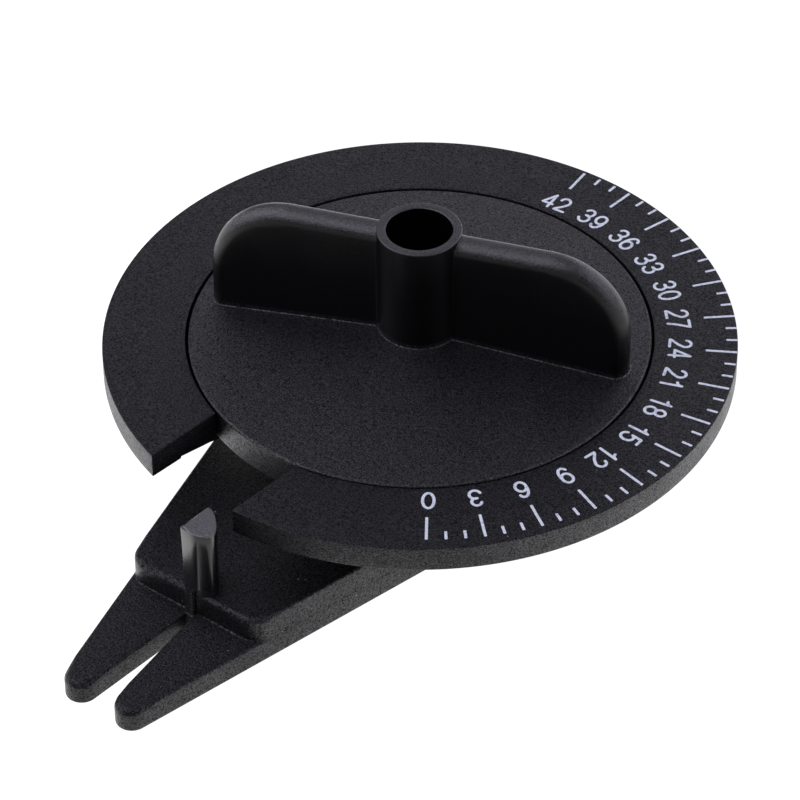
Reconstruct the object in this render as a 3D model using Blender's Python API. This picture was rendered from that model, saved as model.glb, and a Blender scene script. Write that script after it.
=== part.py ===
"""String tension calibrator: a dial with a wing knob over an arm that ends in a sighting fork.

Frame: metres, +Z up along the pivot axis, the fork points along -Y.
The origin is on the pivot axis, on the flat underside of the foot, where the string bed sits.
Drawing heights below are in millimetres from the dial ring's top face, and SEAT lifts them into the frame.
"""
import math

import bmesh
import bpy
from mathutils import Matrix, Vector

MM = 0.001
SEAT = 29.0            # height of the dial's top face over the string seat

# dial ring
RING_R = 40.0
RING_BORE_R = 29.52
RING_RISE = 0.30       # the top face rises this much from its outer edge to the bore
RING_EDGE_Z = -3.42
RING_STEP_R = 35.4     # underside step
RING_STEP_Z = -3.15
RING_ROOT_Z = -4.0
NOTCH_HALF = 7.07
NOTCH_DIR = math.radians(-97.4)
FLANGE_R0, FLANGE_R1 = 24.0, 31.5
FLANGE_Z0, FLANGE_Z1 = -5.4, -4.3
FLANGE_GAP = math.radians(16.5)   # the flange stops this far each side of the notch

# knob
DECK_R = 29.23
DECK_EDGE_Z = 0.33     # deck height near its edge
DECK_SLOPE = 0.070     # rise per millimetre towards the centre
SKIRT_Z = -4.0
SKIRT_R0 = 27.5
TUBE_R, TUBE_BORE_R, TUBE_TOP = 5.34, 4.15, 16.85
WEB_R, WEB_Z0, WEB_Z1 = 3.3, -1.0, 1.0
BOSS_R, BOSS_Z = 6.0, -12.0
WING_DIR = math.radians(20.5)
WING_LEN = 27.2
WING_TOP = 16.62
WING_FLAT = 16.75      # the top edge is level out to here
WING_CORNER_Z = 5.7    # the outer edge is upright below here
WING_EDGE_R = 1.8      # rounding of the wing's edge, half its thickness at the top
WING_FOOT_HALF = 2.2   # half its thickness at the foot, by the draft of its sides
WING_BLEND = 0.45      # small radius where a wing meets the tube
WING_FLARE = 0.22      # small radius where wings and tube meet the deck

# ring retainer, its screws and the drag ring
PLATE_R0, PLATE_R1, PLATE_Z0, PLATE_Z1 = 13.2, 26.3, -6.9, -5.7
SCREW_BOSS_R, SCREW_BOSS_PCR, SCREW_BOSS_Z = 2.7, 20.5, -5.4
SCREW_ANGLES = [math.radians(a) for a in (-30.0, 90.0, 210.0)]
TAB_ANGLE = math.radians(90.0)
TAB_R, TAB_HALF, TAB_Z = 17.0, 2.0, -9.3
DRAG_R, DRAG_WIRE, DRAG_Z = 26.2, 0.85, -3.15

# base arm
ARM_Z0, PRONG_Z, ARM_Z1 = -16.6, -13.38, -10.05
ARM_W0, ARM_S0, ARM_TAPER = 10.2, 44.8, 0.2432      # half width at a station, and its taper
STEP_S = 45.8
STEP_CORNER_R = 2.8
TIP_S, TIP_W, TIP_R = 62.0, 3.92, 2.06
SLOT_S, SLOT_W, SLOT_TAPER = 46.55, 0.46, 0.0881
POST_TOP = -0.3
CUP_R, CUP_BORE_R, CUP_Z, CUP_FLOOR = 15.0, 12.8, -24.5, -21.0
CORE_R, CORE_TOP, CORE_BORE_R = 5.2, -14.7, 2.8
HEAD_POCKET_R, HEAD_POCKET_Z = 4.6, -22.6

# pivot
PIN_R, PIN_TOP = 2.5, 1.0
PIN_HEAD_R, PIN_HEAD_Z0, PIN_HEAD_Z1 = 4.3, -24.4, -22.9
TAP_R, TAP_Z = 1.55, -6.0
BUSH_R, BUSH_BORE_R, BUSH_TOP = 3.8, 2.6, -1.3
BUSH_FLANGE_R, BUSH_Z1, BUSH_Z0 = 5.4, -12.3, -13.1
THRUST_R, THRUST_Z0, THRUST_Z1 = 5.1, -14.4, -13.4
KEEPER_R, KEEPER_BORE_R, KEEPER_Z0, KEEPER_Z1 = 3.8, 1.6, 1.3, 2.1

# torsion spring
COIL_R, COIL_WIRE, COIL_TURNS = 8.8, 0.75, 4.5
COIL_TOP, COIL_BOTTOM = -8.7, -18.6
LEG_TOP, LEG_BOTTOM = -3.1, -22.3
LEG_TOP_ANGLE = math.radians(0.0)

# stops
STOP_R, STOP_PIN_R = 17.0, 1.0
STOP_TOP, STOP_BOTTOM = -7.2, -13.2
TURN = math.radians(190.0)

# foot and string posts
FOOT_R, FOOT_Z1 = 10.0, -24.8
POST_R, POST_X, POST_BOTTOM, POST_SEAT = 1.25, 2.45, -38.15, -25.3
FOOT_SCREW_Y = 6.7

N_RING, N_MID, N_SMALL = 72, 28, 14


for ob in list(bpy.data.objects):
    bpy.data.objects.remove(ob)


# ---------------------------------------------------------------- helpers
def material(name, rgb, rough, metal=0.0):
    m = bpy.data.materials.new(name)
    m.use_nodes = True
    b = m.node_tree.nodes["Principled BSDF"]
    b.inputs["Base Color"].default_value = (*rgb, 1.0)
    b.inputs["Roughness"].default_value = rough
    b.inputs["Metallic"].default_value = metal
    return m


def empty(name, location, parent=None):
    e = bpy.data.objects.new(name, None)
    bpy.context.scene.collection.objects.link(e)
    e.empty_display_size = 0.01
    e.location = Vector(location) * MM
    e.parent = parent
    return e


def finish(name, bm, mat, parent, location=(0, 0, 0), angle=35.0):
    bmesh.ops.remove_doubles(bm, verts=bm.verts, dist=1e-4)
    bmesh.ops.dissolve_degenerate(bm, dist=1e-5, edges=bm.edges)
    bmesh.ops.recalc_face_normals(bm, faces=bm.faces)
    bmesh.ops.scale(bm, vec=(MM, MM, MM), verts=bm.verts)
    mesh = bpy.data.meshes.new(name)
    bm.to_mesh(mesh)
    bm.free()
    mesh.materials.append(mat)
    mesh.shade_smooth()
    mesh.set_sharp_from_angle(angle=math.radians(angle))
    ob = bpy.data.objects.new(name, mesh)
    bpy.context.scene.collection.objects.link(ob)
    ob.location = Vector(location) * MM
    ob.parent = parent
    return ob


def copies(name, bm, mat, parent, places):
    """The same piece at several places, each an object of its own on one mesh."""
    first = None
    for suffix, x, y, z in places:
        if first is None:
            first = finish(f"{name}_{suffix}", bm, mat, parent, location=(x, y, z))
            continue
        ob = bpy.data.objects.new(f"{name}_{suffix}", first.data)
        bpy.context.scene.collection.objects.link(ob)
        ob.location = Vector((x, y, z)) * MM
        ob.parent = parent


def loft(bm, loops, ring=False, cap_start=False, cap_end=False):
    """Quads between loops that all have the same number of points; ring joins the last loop to the first."""
    rows = [[bm.verts.new(p) for p in loop] for loop in loops]
    pairs = list(zip(rows, rows[1:])) + ([(rows[-1], rows[0])] if ring else [])
    n = len(rows[0])
    for a, b in pairs:
        for i in range(n):
            j = (i + 1) % n
            bm.faces.new((a[i], a[j], b[j], b[i]))
    if cap_start:
        bm.faces.new(list(reversed(rows[0])))
    if cap_end:
        bm.faces.new(rows[-1])
    return bm


def circle(r, z, n, x=0.0, y=0.0, a0=0.0):
    return [(x + r * math.cos(a0 + math.tau * i / n), y + r * math.sin(a0 + math.tau * i / n), z) for i in range(n)]


def turned(profile, n, x=0.0, y=0.0, a0=0.0, bm=None):
    """A closed (r, z) profile turned about a vertical line. A profile that starts and ends on the axis is capped there."""
    bm = bm or bmesh.new()
    on_axis = profile[0][0] < 1e-6 and profile[-1][0] < 1e-6
    if on_axis:
        loops = [circle(r, z, n, x, y, a0) for r, z in profile[1:-1]]
        return loft(bm, loops, cap_start=True, cap_end=True)
    return loft(bm, [circle(r, z, n, x, y, a0) for r, z in profile], ring=True)


def prism(outline, z0, z1, bm=None):
    bm = bm or bmesh.new()
    return loft(bm, [[(x, y, z0) for x, y in outline], [(x, y, z1) for x, y in outline]], cap_start=True, cap_end=True)


def cut(ob, cutter, operation="DIFFERENCE"):
    cutter.hide_render = True
    cutter.display_type = "WIRE"
    m = ob.modifiers.new(cutter.name, "BOOLEAN")
    m.operation = operation
    m.solver = "EXACT"
    m.object = cutter


def arc(cx, cy, r, a0, a1, n):
    return [(cx + r * math.cos(a0 + (a1 - a0) * i / n), cy + r * math.sin(a0 + (a1 - a0) * i / n)) for i in range(n + 1)]


BLACK = material("black_abs", (0.018, 0.018, 0.021), 0.55)
BLACK_RING = material("black_dial_abs", (0.020, 0.020, 0.023), 0.6)
STEEL = material("plated_steel", (0.62, 0.62, 0.60), 0.3, 1.0)
SPRING_STEEL = material("spring_steel", (0.42, 0.41, 0.40), 0.35, 1.0)
ACETAL = material("white_acetal", (0.78, 0.77, 0.73), 0.45)
RUBBER = material("black_rubber", (0.012, 0.012, 0.012), 0.8)

# each group hangs from an empty on the pivot axis, at the height of the dial's top face
base_axis = empty("base_axis", (0, 0, SEAT))
knob_axis = empty("knob_axis", (0, 0, SEAT))
ring_axis = empty("ring_axis", (0, 0, SEAT))


# ---------------------------------------------------------------- dial ring
def ring_section():
    """Outline (r, z) of the ring without its flange, from the bore's top edge outwards."""
    return [
        (RING_BORE_R, RING_RISE - 0.12), (RING_BORE_R + 0.12, RING_RISE),
        (RING_R - 0.1, 0.0), (RING_R, -0.1),
        (RING_R, RING_EDGE_Z), (RING_STEP_R, RING_EDGE_Z), (RING_STEP_R - 0.1, RING_STEP_Z),
        (RING_BORE_R, RING_ROOT_Z),
    ]


def open_ring(section, half_width, n, mid, a_gap=None):
    """Turns a section about the axis, leaving a gap with parallel sides, or a fixed angle each side of mid."""
    bm = bmesh.new()
    rows = []
    for i in range(n + 1):
        row = []
        for r, z in section:
            half = a_gap if a_gap is not None else math.asin(half_width / r)
            a = mid + half + (math.tau - 2 * half) * i / n
            row.append(bm.verts.new((r * math.cos(a), r * math.sin(a), z)))
        rows.append(row)
    k = len(section)
    for a, b in zip(rows, rows[1:]):
        for i in range(k):
            j = (i + 1) % k
            bm.faces.new((a[i], a[j], b[j], b[i]))
    bm.faces.new(rows[0])
    bm.faces.new(list(reversed(rows[-1])))
    return bm


dial_ring = finish("dial_ring", open_ring(ring_section(), NOTCH_HALF, N_RING, NOTCH_DIR), BLACK_RING, ring_axis)
flange_section = [(FLANGE_R0, FLANGE_Z0), (FLANGE_R0, FLANGE_Z1), (RING_BORE_R + 0.35, FLANGE_Z1),
                  (RING_BORE_R + 0.35, -2.6), (FLANGE_R1 - 0.2, -2.6), (FLANGE_R1, FLANGE_Z0)]
flange = finish("dial_flange_shape", open_ring(flange_section, 0, 54, NOTCH_DIR, FLANGE_GAP), BLACK_RING, ring_axis)
cut(dial_ring, flange, "UNION")


# ---------------------------------------------------------------- knob
def deck_z(r):
    return DECK_EDGE_Z + DECK_SLOPE * max(0.0, DECK_R - 1.0 - r)


def wing_outline_distance(x, z):
    """Distance of a point of the wing's plane from the wing's outer edge: level top, elliptic corner, upright end."""
    if x <= WING_FLAT:
        d = WING_TOP - z
        best = d
    else:
        best = 1e9
    ax, az = WING_LEN - WING_FLAT, WING_TOP - WING_CORNER_Z
    steps = 60
    for i in range(steps + 1):
        t = math.pi / 2 * i / steps
        px, pz = WING_FLAT + ax * math.cos(t), WING_CORNER_Z + az * math.sin(t)
        best = min(best, math.hypot(px - x, pz - z))
    if z < WING_CORNER_Z:
        best = min(best, WING_LEN - x)
    return best


def wing_reach(z):
    """How far out the wing's edge is at a height."""
    if z <= WING_CORNER_Z:
        return WING_LEN
    az = WING_TOP - WING_CORNER_Z
    u = min(1.0, (z - WING_CORNER_Z) / az)
    return WING_FLAT + (WING_LEN - WING_FLAT) * math.sqrt(max(0.0, 1 - u * u))


def wing_station(z, depth):
    """The outermost x at a height whose distance from the wing's edge is depth."""
    hi = wing_reach(z)
    lo = WING_FLAT * 0.6
    if depth < 1e-6:
        return hi
    for _ in range(26):
        mid = (lo + hi) / 2
        if wing_outline_distance(mid, z) >= depth:
            lo = mid
        else:
            hi = mid
    return lo


def wing_half(z):
    """Half the wing's thickness at a height over the deck."""
    t = min(1.0, max(0.0, z / (WING_TOP - WING_EDGE_R)))
    return WING_FOOT_HALF + (WING_EDGE_R - WING_FOOT_HALF) * t


def knob_quarter(z, grow, n_cap, n_line, n_fil, n_arc):
    """A quarter of the horizontal section of tube and wing: from the wing's tip, along its side, to the tube's side."""
    depth_max = min(WING_EDGE_R, max(0.0, WING_TOP - z))
    phi_max = math.acos(max(-1.0, 1 - depth_max / WING_EDGE_R)) if depth_max > 1e-9 else 0.0
    pts = []
    for j in range(n_cap + 1):
        phi = phi_max * j / n_cap
        depth = WING_EDGE_R * (1 - math.cos(phi))
        x = wing_station(z, min(depth, depth_max * 0.9999))
        y = wing_half(z) * math.sin(phi)
        out = math.cos(phi)
        pts.append((x + grow * out, y + grow * math.sqrt(max(0.0, 1 - out * out)) if phi_max > 0 else 0.0))
    b = pts[-1][1]
    blend = max(0.15, WING_BLEND - grow)
    r = TUBE_R + grow
    cx = math.sqrt((r + blend) ** 2 - (b + blend) ** 2)
    x0 = pts[-1][0]
    for j in range(1, n_line + 1):
        pts.append((x0 + (cx - x0) * j / n_line, b))
    theta = math.atan2(b + blend, cx)
    for j in range(1, n_fil + 1):
        a = -math.pi / 2 + (theta - math.pi - (-math.pi / 2)) * j / n_fil
        pts.append((cx + blend * math.cos(a), b + blend + blend * math.sin(a)))
    for j in range(1, n_arc + 1):
        a = theta + (math.pi / 2 - theta) * j / n_arc
        pts.append((r * math.cos(a), r * math.sin(a)))
    return pts


def full_section(quarter):
    """Mirrors a quarter into the whole outline, anticlockwise from the wing's tip, without doubled points."""
    q1 = quarter
    q2 = [(-x, y) for x, y in reversed(quarter)][1:]
    q3 = [(-x, -y) for x, y in quarter][1:]
    q4 = [(x, -y) for x, y in reversed(quarter)][1:-1]
    return q1 + q2 + q3 + q4


def turn(points, angle):
    c, s = math.cos(angle), math.sin(angle)
    return [(x * c - y * s, x * s + y * c) for x, y in points]


def build_knob(n_cap, n_line, n_fil, n_arc, wall_levels, flare_levels, round_levels, deck_loops, flare_r=WING_FLARE):
    counts = (n_cap, n_line, n_fil, n_arc)
    n = 4 * (n_cap + n_line + n_fil + n_arc)
    bm = bmesh.new()
    loops = []

    def ring_loop(r, z, angles):
        return [(r * math.cos(a), r * math.sin(a), z) for a in angles]

    # heights above the deck: a small flare at the foot, the upright wall, the rounded top
    levels = []
    for i in range(flare_levels + 1):
        t = math.pi / 2 * i / flare_levels
        levels.append((flare_r * (1 - math.cos(t)), flare_r * (1 - math.sin(t))))
    top_wall = WING_TOP - WING_EDGE_R
    for i in range(1, wall_levels + 1):
        levels.append((flare_r + (top_wall - flare_r) * i / wall_levels, 0.0))
    for i in range(1, round_levels + 1):
        t = math.pi / 2 * i / round_levels
        levels.append((top_wall + WING_EDGE_R * math.sin(t), 0.0))

    sections = []
    for z, grow in levels:
        pts = turn(full_section(knob_quarter(z, grow, *counts)), WING_DIR)
        row = []
        for x, y in pts:
            lift = deck_z(math.hypot(x, y)) * max(0.0, 1 - z / 5.0)
            row.append((x, y, z + lift))
        sections.append(row)
    base = sections[0]
    # deck: from the round edge in to the foot of wings and tube
    base_angles = [math.atan2(p[1], p[0]) for p in base]
    even = [WING_DIR + math.tau * i / n for i in range(n)]

    def near(a, ref):
        while a - ref > math.pi:
            a -= math.tau
        while ref - a > math.pi:
            a += math.tau
        return a

    rim = [(DECK_R - 0.38, DECK_EDGE_Z), (DECK_R - 0.11, DECK_EDGE_Z - 0.11), (DECK_R, DECK_EDGE_Z - 0.38)]
    underside = [
        (DECK_R, SKIRT_Z), (SKIRT_R0, SKIRT_Z), (SKIRT_R0, -2.0), (BOSS_R, -0.7), (BOSS_R, BOSS_Z),
        (TUBE_BORE_R, BOSS_Z), (TUBE_BORE_R, WEB_Z0), (WEB_R, WEB_Z0), (WEB_R, WEB_Z1), (TUBE_BORE_R, WEB_Z1),
    ]
    for k in range(1, deck_loops + 1):
        t = k / (deck_loops + 1)
        row = []
        for i, p in enumerate(base):
            a = near(base_angles[i], even[i])
            ang = a + (even[i] - a) * t
            r0 = math.hypot(p[0], p[1])
            r = r0 + (rim[0][0] - r0) * t
            # a wing's tip is close to the deck's edge, so the blend is in position as well as angle
            x = (1 - t) * p[0] + t * rim[0][0] * math.cos(even[i])
            y = (1 - t) * p[1] + t * rim[0][0] * math.sin(even[i])
            row.append((x, y, deck_z(math.hypot(x, y))))
        loops.append(row)
    loops.reverse()
    loops = [ring_loop(r, z, even) for r, z in reversed(rim)] + loops + sections[:-1]
    # top: the wings' rounded edges close on a ridge, and the tube goes on up
    ridge = sections[-1]
    tube_r = TUBE_R
    n_ridge = n_cap + n_line
    q = n_cap + n_line + n_fil + n_arc

    rows = [[bm.verts.new(p) for p in loop] for loop in loops]
    ridge_v = [bm.verts.new(p) for p in ridge]
    rows.append(ridge_v)
    for a, b in zip(rows, rows[1:]):
        for i in range(n):
            j = (i + 1) % n
            bm.faces.new((a[i], a[j], b[j], b[i]))

    def on_ridge(i):
        """Whether point i of a section lies on a wing's ridge rather than on the tube's side."""
        m = i % (2 * q)
        m = min(m, 2 * q - m)
        return m < n_ridge

    # the tube above the ridge
    top_angles = [math.atan2(p[1], p[0]) for p in ridge]
    lip = [(tube_r, WING_TOP), (tube_r, TUBE_TOP - 0.12), (tube_r - 0.12, TUBE_TOP), (TUBE_BORE_R + 0.1, TUBE_TOP), (TUBE_BORE_R, TUBE_TOP - 0.1)]
    lips = [[bm.verts.new(p) for p in ring_loop(r, z, top_angles)] for r, z in lip]
    for i in range(n):
        j = (i + 1) % n
        if not (on_ridge(i) or on_ridge(j)):
            bm.faces.new((ridge_v[i], ridge_v[j], lips[0][j], lips[0][i]))
    inner = []
    for r, z in reversed(underside):
        inner.append([bm.verts.new(p) for p in ring_loop(r, z, top_angles)])
    chain = lips + inner[: len(inner) - 4]
    for a, b in zip(chain, chain[1:]):
        for i in range(n):
            j = (i + 1) % n
            bm.faces.new((a[i], a[j], b[j], b[i]))
    # from the boss out to the skirt the points even out again
    outer = [[bm.verts.new(p) for p in ring_loop(r, z, even)] for r, z in reversed(underside[:4])]
    for v_row in inner[len(inner) - 4:]:
        for v in v_row:
            bm.verts.remove(v)
    chain = [chain[-1]] + outer + [rows[0]]
    for a, b in zip(chain, chain[1:]):
        for i in range(n):
            j = (i + 1) % n
            bm.faces.new((a[i], a[j], b[j], b[i]))
    return bm


knob_body = finish("knob_body", build_knob(4, 4, 2, 5, 5, 2, 3, 2), BLACK, knob_axis)
bosses = bmesh.new()
for a in SCREW_ANGLES:
    x, y = SCREW_BOSS_PCR * math.cos(a), SCREW_BOSS_PCR * math.sin(a)
    turned([(0, SCREW_BOSS_Z), (SCREW_BOSS_R, SCREW_BOSS_Z), (SCREW_BOSS_R + 0.1, -1.0), (0, -1.0)], N_SMALL, x, y, bm=bosses)
sx, sy = COIL_R * math.cos(LEG_TOP_ANGLE), COIL_R * math.sin(LEG_TOP_ANGLE)
turned([(0, SCREW_BOSS_Z), (2.1, SCREW_BOSS_Z), (2.2, -0.3), (0, -0.3)], N_SMALL, sx, sy, bm=bosses)
cut(knob_body, finish("knob_boss_shapes", bosses, BLACK, knob_axis), "UNION")
holes = bmesh.new()
for a in SCREW_ANGLES:
    x, y = SCREW_BOSS_PCR * math.cos(a), SCREW_BOSS_PCR * math.sin(a)
    turned([(0, SCREW_BOSS_Z - 1), (1.2, SCREW_BOSS_Z - 1), (1.2, -2.3), (0, -2.3)], 12, x, y, bm=holes)
turned([(0, SCREW_BOSS_Z - 1), (1.1, SCREW_BOSS_Z - 1), (1.1, -2.7), (0, -2.7)], 12, sx, sy, bm=holes)
cut(knob_body, finish("knob_hole_shapes", holes, BLACK, knob_axis))

# flanged bush in the boss
finish("pivot_bush", turned([
    (BUSH_BORE_R, BUSH_TOP), (BUSH_R, BUSH_TOP), (BUSH_R, BUSH_Z1), (BUSH_FLANGE_R, BUSH_Z1),
    (BUSH_FLANGE_R, BUSH_Z0), (BUSH_BORE_R, BUSH_Z0)], N_MID), ACETAL, knob_axis)

# plate that traps the dial ring's flange, with the tab that meets the stops
ring_retainer = finish("ring_retainer", turned([
    (PLATE_R0, PLATE_Z0), (PLATE_R0, PLATE_Z1), (PLATE_R1, PLATE_Z1), (PLATE_R1, PLATE_Z0)], 60), STEEL, knob_axis)
c, s = math.cos(TAB_ANGLE), math.sin(TAB_ANGLE)
tab = turn([(TAB_R - 1.2, -TAB_HALF), (TAB_R + 1.2, -TAB_HALF), (TAB_R + 1.2, TAB_HALF), (TAB_R - 1.2, TAB_HALF)], TAB_ANGLE)
cut(ring_retainer, finish("retainer_tab_shape", prism(tab, TAB_Z, PLATE_Z1 - 0.3), STEEL, knob_axis), "UNION")
holes = bmesh.new()
for a in SCREW_ANGLES:
    turned([(0, PLATE_Z0 - 1), (1.35, PLATE_Z0 - 1), (1.35, PLATE_Z1 + 1), (0, PLATE_Z1 + 1)], 12,
           SCREW_BOSS_PCR * math.cos(a), SCREW_BOSS_PCR * math.sin(a), bm=holes)
cut(ring_retainer, finish("retainer_hole_shapes", holes, STEEL, knob_axis))

retainer_screw = turned([(0, -8.25), (1.3, -8.25), (1.95, -7.8), (1.95, -7.2), (0.9, -7.2), (0.9, -2.7), (0, -2.7)], 14)
copies("retainer_screw", retainer_screw, STEEL, knob_axis,
       [(k, SCREW_BOSS_PCR * math.cos(a), SCREW_BOSS_PCR * math.sin(a), 0) for k, a in zip("123", SCREW_ANGLES)])

# rubber ring between the deck's underside and the dial ring's flange
section = arc(0, 0, DRAG_WIRE, 0, math.tau * 5 / 6, 5)
finish("drag_ring", turned([(DRAG_R + u, DRAG_Z + v) for u, v in reversed(section)], 44), RUBBER, knob_axis)


# ---------------------------------------------------------------- base arm
def half_width(s):
    return ARM_W0 - ARM_TAPER * (s - ARM_S0)


def hub_arc(inset=0.0, n=26):
    """The round end of the arm under the dial, tangent to its tapering sides."""
    alpha = math.atan(ARM_TAPER)
    r = half_width(0.0) * math.cos(alpha) - inset
    return arc(0, 0, r, -alpha, math.pi + alpha, n)


def arm_outline(inset=0.0):
    """Plan of the arm up to the step, with rounded corners; x is across, the fork is towards -y."""
    alpha = math.atan(ARM_TAPER)
    s1 = STEP_S - inset
    r = STEP_CORNER_R
    w = half_width(s1) - inset / math.cos(alpha)
    # corner between the tapering side and the step's face
    turn_angle = math.pi / 2 - alpha
    back = r * math.tan(turn_angle / 2)
    cx, cy = w - back, -(s1 - r)
    right = arc(cx, cy, r, -math.pi / 2, -alpha, 5)
    left = [(-x, y) for x, y in reversed(right)]
    return right + hub_arc(inset) + left


def fork_outline():
    """Plan of the whole moulding at the prongs' level."""
    alpha = math.atan(ARM_TAPER)
    beta = math.atan(SLOT_TAPER)
    tip = arc(TIP_W, -TIP_S, TIP_R, -math.pi + beta, -alpha, 8)
    right = [(SLOT_W, -SLOT_S)] + tip
    left = [(-x, y) for x, y in reversed(right)]
    return right + hub_arc() + left


def post_outline():
    """Plan of the pointer post: a flat side to the left on the arm's line, a wedge nose to the fork, a round right side."""
    return [(-0.92, -40.85), (-1.20, -43.2), (-1.42, -45.42), (-1.30, -45.55), (0.50, -45.76), (0.78, -45.72), (1.55, -45.44),
            (2.52, -45.16), (2.84, -44.70), (2.80, -44.10), (2.14, -43.0), (1.04, -41.88), (0.12, -41.18)]


arm = finish("base_arm", prism(fork_outline(), ARM_Z0, PRONG_Z), BLACK, base_axis)
upper = prism(arm_outline(0.08), ARM_Z0 + 1.0, ARM_Z1)
cut(arm, finish("arm_upper_shape", upper, BLACK, base_axis), "UNION")
post = prism(post_outline(), PRONG_Z - 0.6, POST_TOP)
cut(arm, finish("pointer_post_shape", post, BLACK, base_axis), "UNION")
keel = prism([(-0.95, -45.0), (-0.95, -46.0), (-0.60, -46.3), (0.40, -46.3), (0.72, -46.0), (0.72, -45.0)], PRONG_Z - 0.7, ARM_Z1 + 0.9)
cut(arm, finish("post_keel_shape", keel, BLACK, base_axis), "UNION")
cup = turned([(0, CUP_Z), (CUP_R - 0.5, CUP_Z), (CUP_R, CUP_Z + 0.5), (CUP_R, ARM_Z0 + 2.0), (0, ARM_Z0 + 2.0)], 48)
cut(arm, finish("hub_cup_shape", cup, BLACK, base_axis), "UNION")
bore = turned([(0, 0.0), (CUP_BORE_R, 0.0), (CUP_BORE_R, CUP_FLOOR), (CORE_R, CUP_FLOOR), (CORE_R, CORE_TOP),
               (CORE_BORE_R, CORE_TOP), (CORE_BORE_R, HEAD_POCKET_Z), (HEAD_POCKET_R, HEAD_POCKET_Z),
               (HEAD_POCKET_R, CUP_Z - 1.0), (0, CUP_Z - 1.0)], 48)
cut(arm, finish("hub_bore_shape", bore, BLACK, base_axis))

small = bmesh.new()
for y in (-FOOT_SCREW_Y, FOOT_SCREW_Y):
    turned([(0, CUP_Z - 1), (1.4, CUP_Z - 1), (1.4, -21.7), (0, -21.7)], 12, 0, y, bm=small)
leg_angle = LEG_TOP_ANGLE - math.tau * COIL_TURNS
lx, ly = COIL_R * math.cos(leg_angle), COIL_R * math.sin(leg_angle)
turned([(0, -22.8), (1.1, -22.8), (1.1, CUP_FLOOR + 1), (0, CUP_FLOOR + 1)], 12, lx, ly, bm=small)
swing = TAB_HALF / TAB_R + STOP_PIN_R / STOP_R + 0.35 / STOP_R
STOP_ANGLES = [TAB_ANGLE + swing, TAB_ANGLE - TURN - swing]
for a in STOP_ANGLES:
    turned([(0, STOP_BOTTOM - 0.3), (1.3, STOP_BOTTOM - 0.3), (1.3, ARM_Z1 + 1), (0, ARM_Z1 + 1)], 12,
           STOP_R * math.cos(a), STOP_R * math.sin(a), bm=small)
cut(arm, finish("hub_hole_shapes", small, BLACK, base_axis))

# cored cells under the arm, between ribs
cells = bmesh.new()
for s0, s1 in ((23.6, 31.6), (33.0, 42.6)):
    for lane in (-1, 0, 1):
        if lane == 0:
            quad = [(-3.4, -s1), (3.4, -s1), (3.4, -s0), (-3.4, -s0)]
        else:
            w0, w1 = half_width(s0) - 2.2, half_width(s1) - 2.2
            quad = [(4.8, -s1), (w1, -s1), (w0, -s0), (4.8, -s0)]
            if lane < 0:
                quad = [(-x, y) for x, y in reversed(quad)]
        prism(quad, ARM_Z0 - 1, ARM_Z1 - 2.3, bm=cells)
cut(arm, finish("arm_core_shapes", cells, BLACK, base_axis))

# ---------------------------------------------------------------- pivot
spindle = finish("pivot_spindle", turned([
    (0, PIN_HEAD_Z0), (PIN_HEAD_R - 0.3, PIN_HEAD_Z0), (PIN_HEAD_R, PIN_HEAD_Z0 + 0.3), (PIN_HEAD_R, PIN_HEAD_Z1),
    (PIN_R, PIN_HEAD_Z1), (PIN_R, PIN_TOP - 0.3), (PIN_R - 0.3, PIN_TOP), (TAP_R, PIN_TOP), (TAP_R, TAP_Z), (0, TAP_Z)], 24),
    STEEL, base_axis)
finish("thrust_washer", turned([(CORE_BORE_R, THRUST_Z0), (CORE_BORE_R, THRUST_Z1), (THRUST_R, THRUST_Z1), (THRUST_R, THRUST_Z0)], 28),
       ACETAL, base_axis)
finish("retaining_washer", turned([(KEEPER_BORE_R, KEEPER_Z0), (KEEPER_BORE_R, KEEPER_Z1), (KEEPER_R, KEEPER_Z1), (KEEPER_R, KEEPER_Z0)], 28),
       STEEL, base_axis)
screw = finish("retaining_screw", turned([
    (0, -5.6), (0.8, -5.6), (1.2, -5.1), (1.2, 2.4), (3.0, 2.4), (3.0, 3.3), (2.5, 4.0), (1.6, 4.35), (0, 4.35)], 20), STEEL, base_axis)
cross = bmesh.new()
for pts in ([(-1.5, -0.3), (1.5, -0.3), (1.5, 0.3), (-1.5, 0.3)],):
    prism(pts, 3.3, 5.0, bm=cross)
cut(screw, finish("screw_slot_shape_a", cross, STEEL, base_axis))
cross = bmesh.new()
prism([(-0.3, -1.5), (0.3, -1.5), (0.3, 1.5), (-0.3, 1.5)], 3.3, 5.0, bm=cross)
cut(screw, finish("screw_slot_shape_b", cross, STEEL, base_axis))

stop_pin = turned([(0, STOP_BOTTOM), (STOP_PIN_R, STOP_BOTTOM), (STOP_PIN_R, STOP_TOP - 0.2), (STOP_PIN_R - 0.2, STOP_TOP), (0, STOP_TOP)], 16)
copies("stop_pin", stop_pin, STEEL, base_axis,
       [(k, STOP_R * math.cos(a), STOP_R * math.sin(a), 0) for k, a in zip(("zero", "full"), STOP_ANGLES)])


# ---------------------------------------------------------------- torsion spring
def spring_path():
    """Wire centre line: down leg from the knob, coil, down leg into the cup's floor."""
    pts = [(COIL_R * math.cos(LEG_TOP_ANGLE), COIL_R * math.sin(LEG_TOP_ANGLE), LEG_TOP)]
    per_turn = 16
    n = int(COIL_TURNS * per_turn)
    pts.append((pts[0][0], pts[0][1], COIL_TOP + 1.2))
    for i in range(n + 1):
        t = i / n
        a = LEG_TOP_ANGLE - math.tau * COIL_TURNS * t
        z = COIL_TOP + (COIL_BOTTOM - COIL_TOP) * t
        pts.append((COIL_R * math.cos(a), COIL_R * math.sin(a), z))
    end = pts[-1]
    pts.append((end[0], end[1], COIL_BOTTOM - 1.2))
    pts.append((end[0], end[1], LEG_BOTTOM))
    return pts


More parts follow.
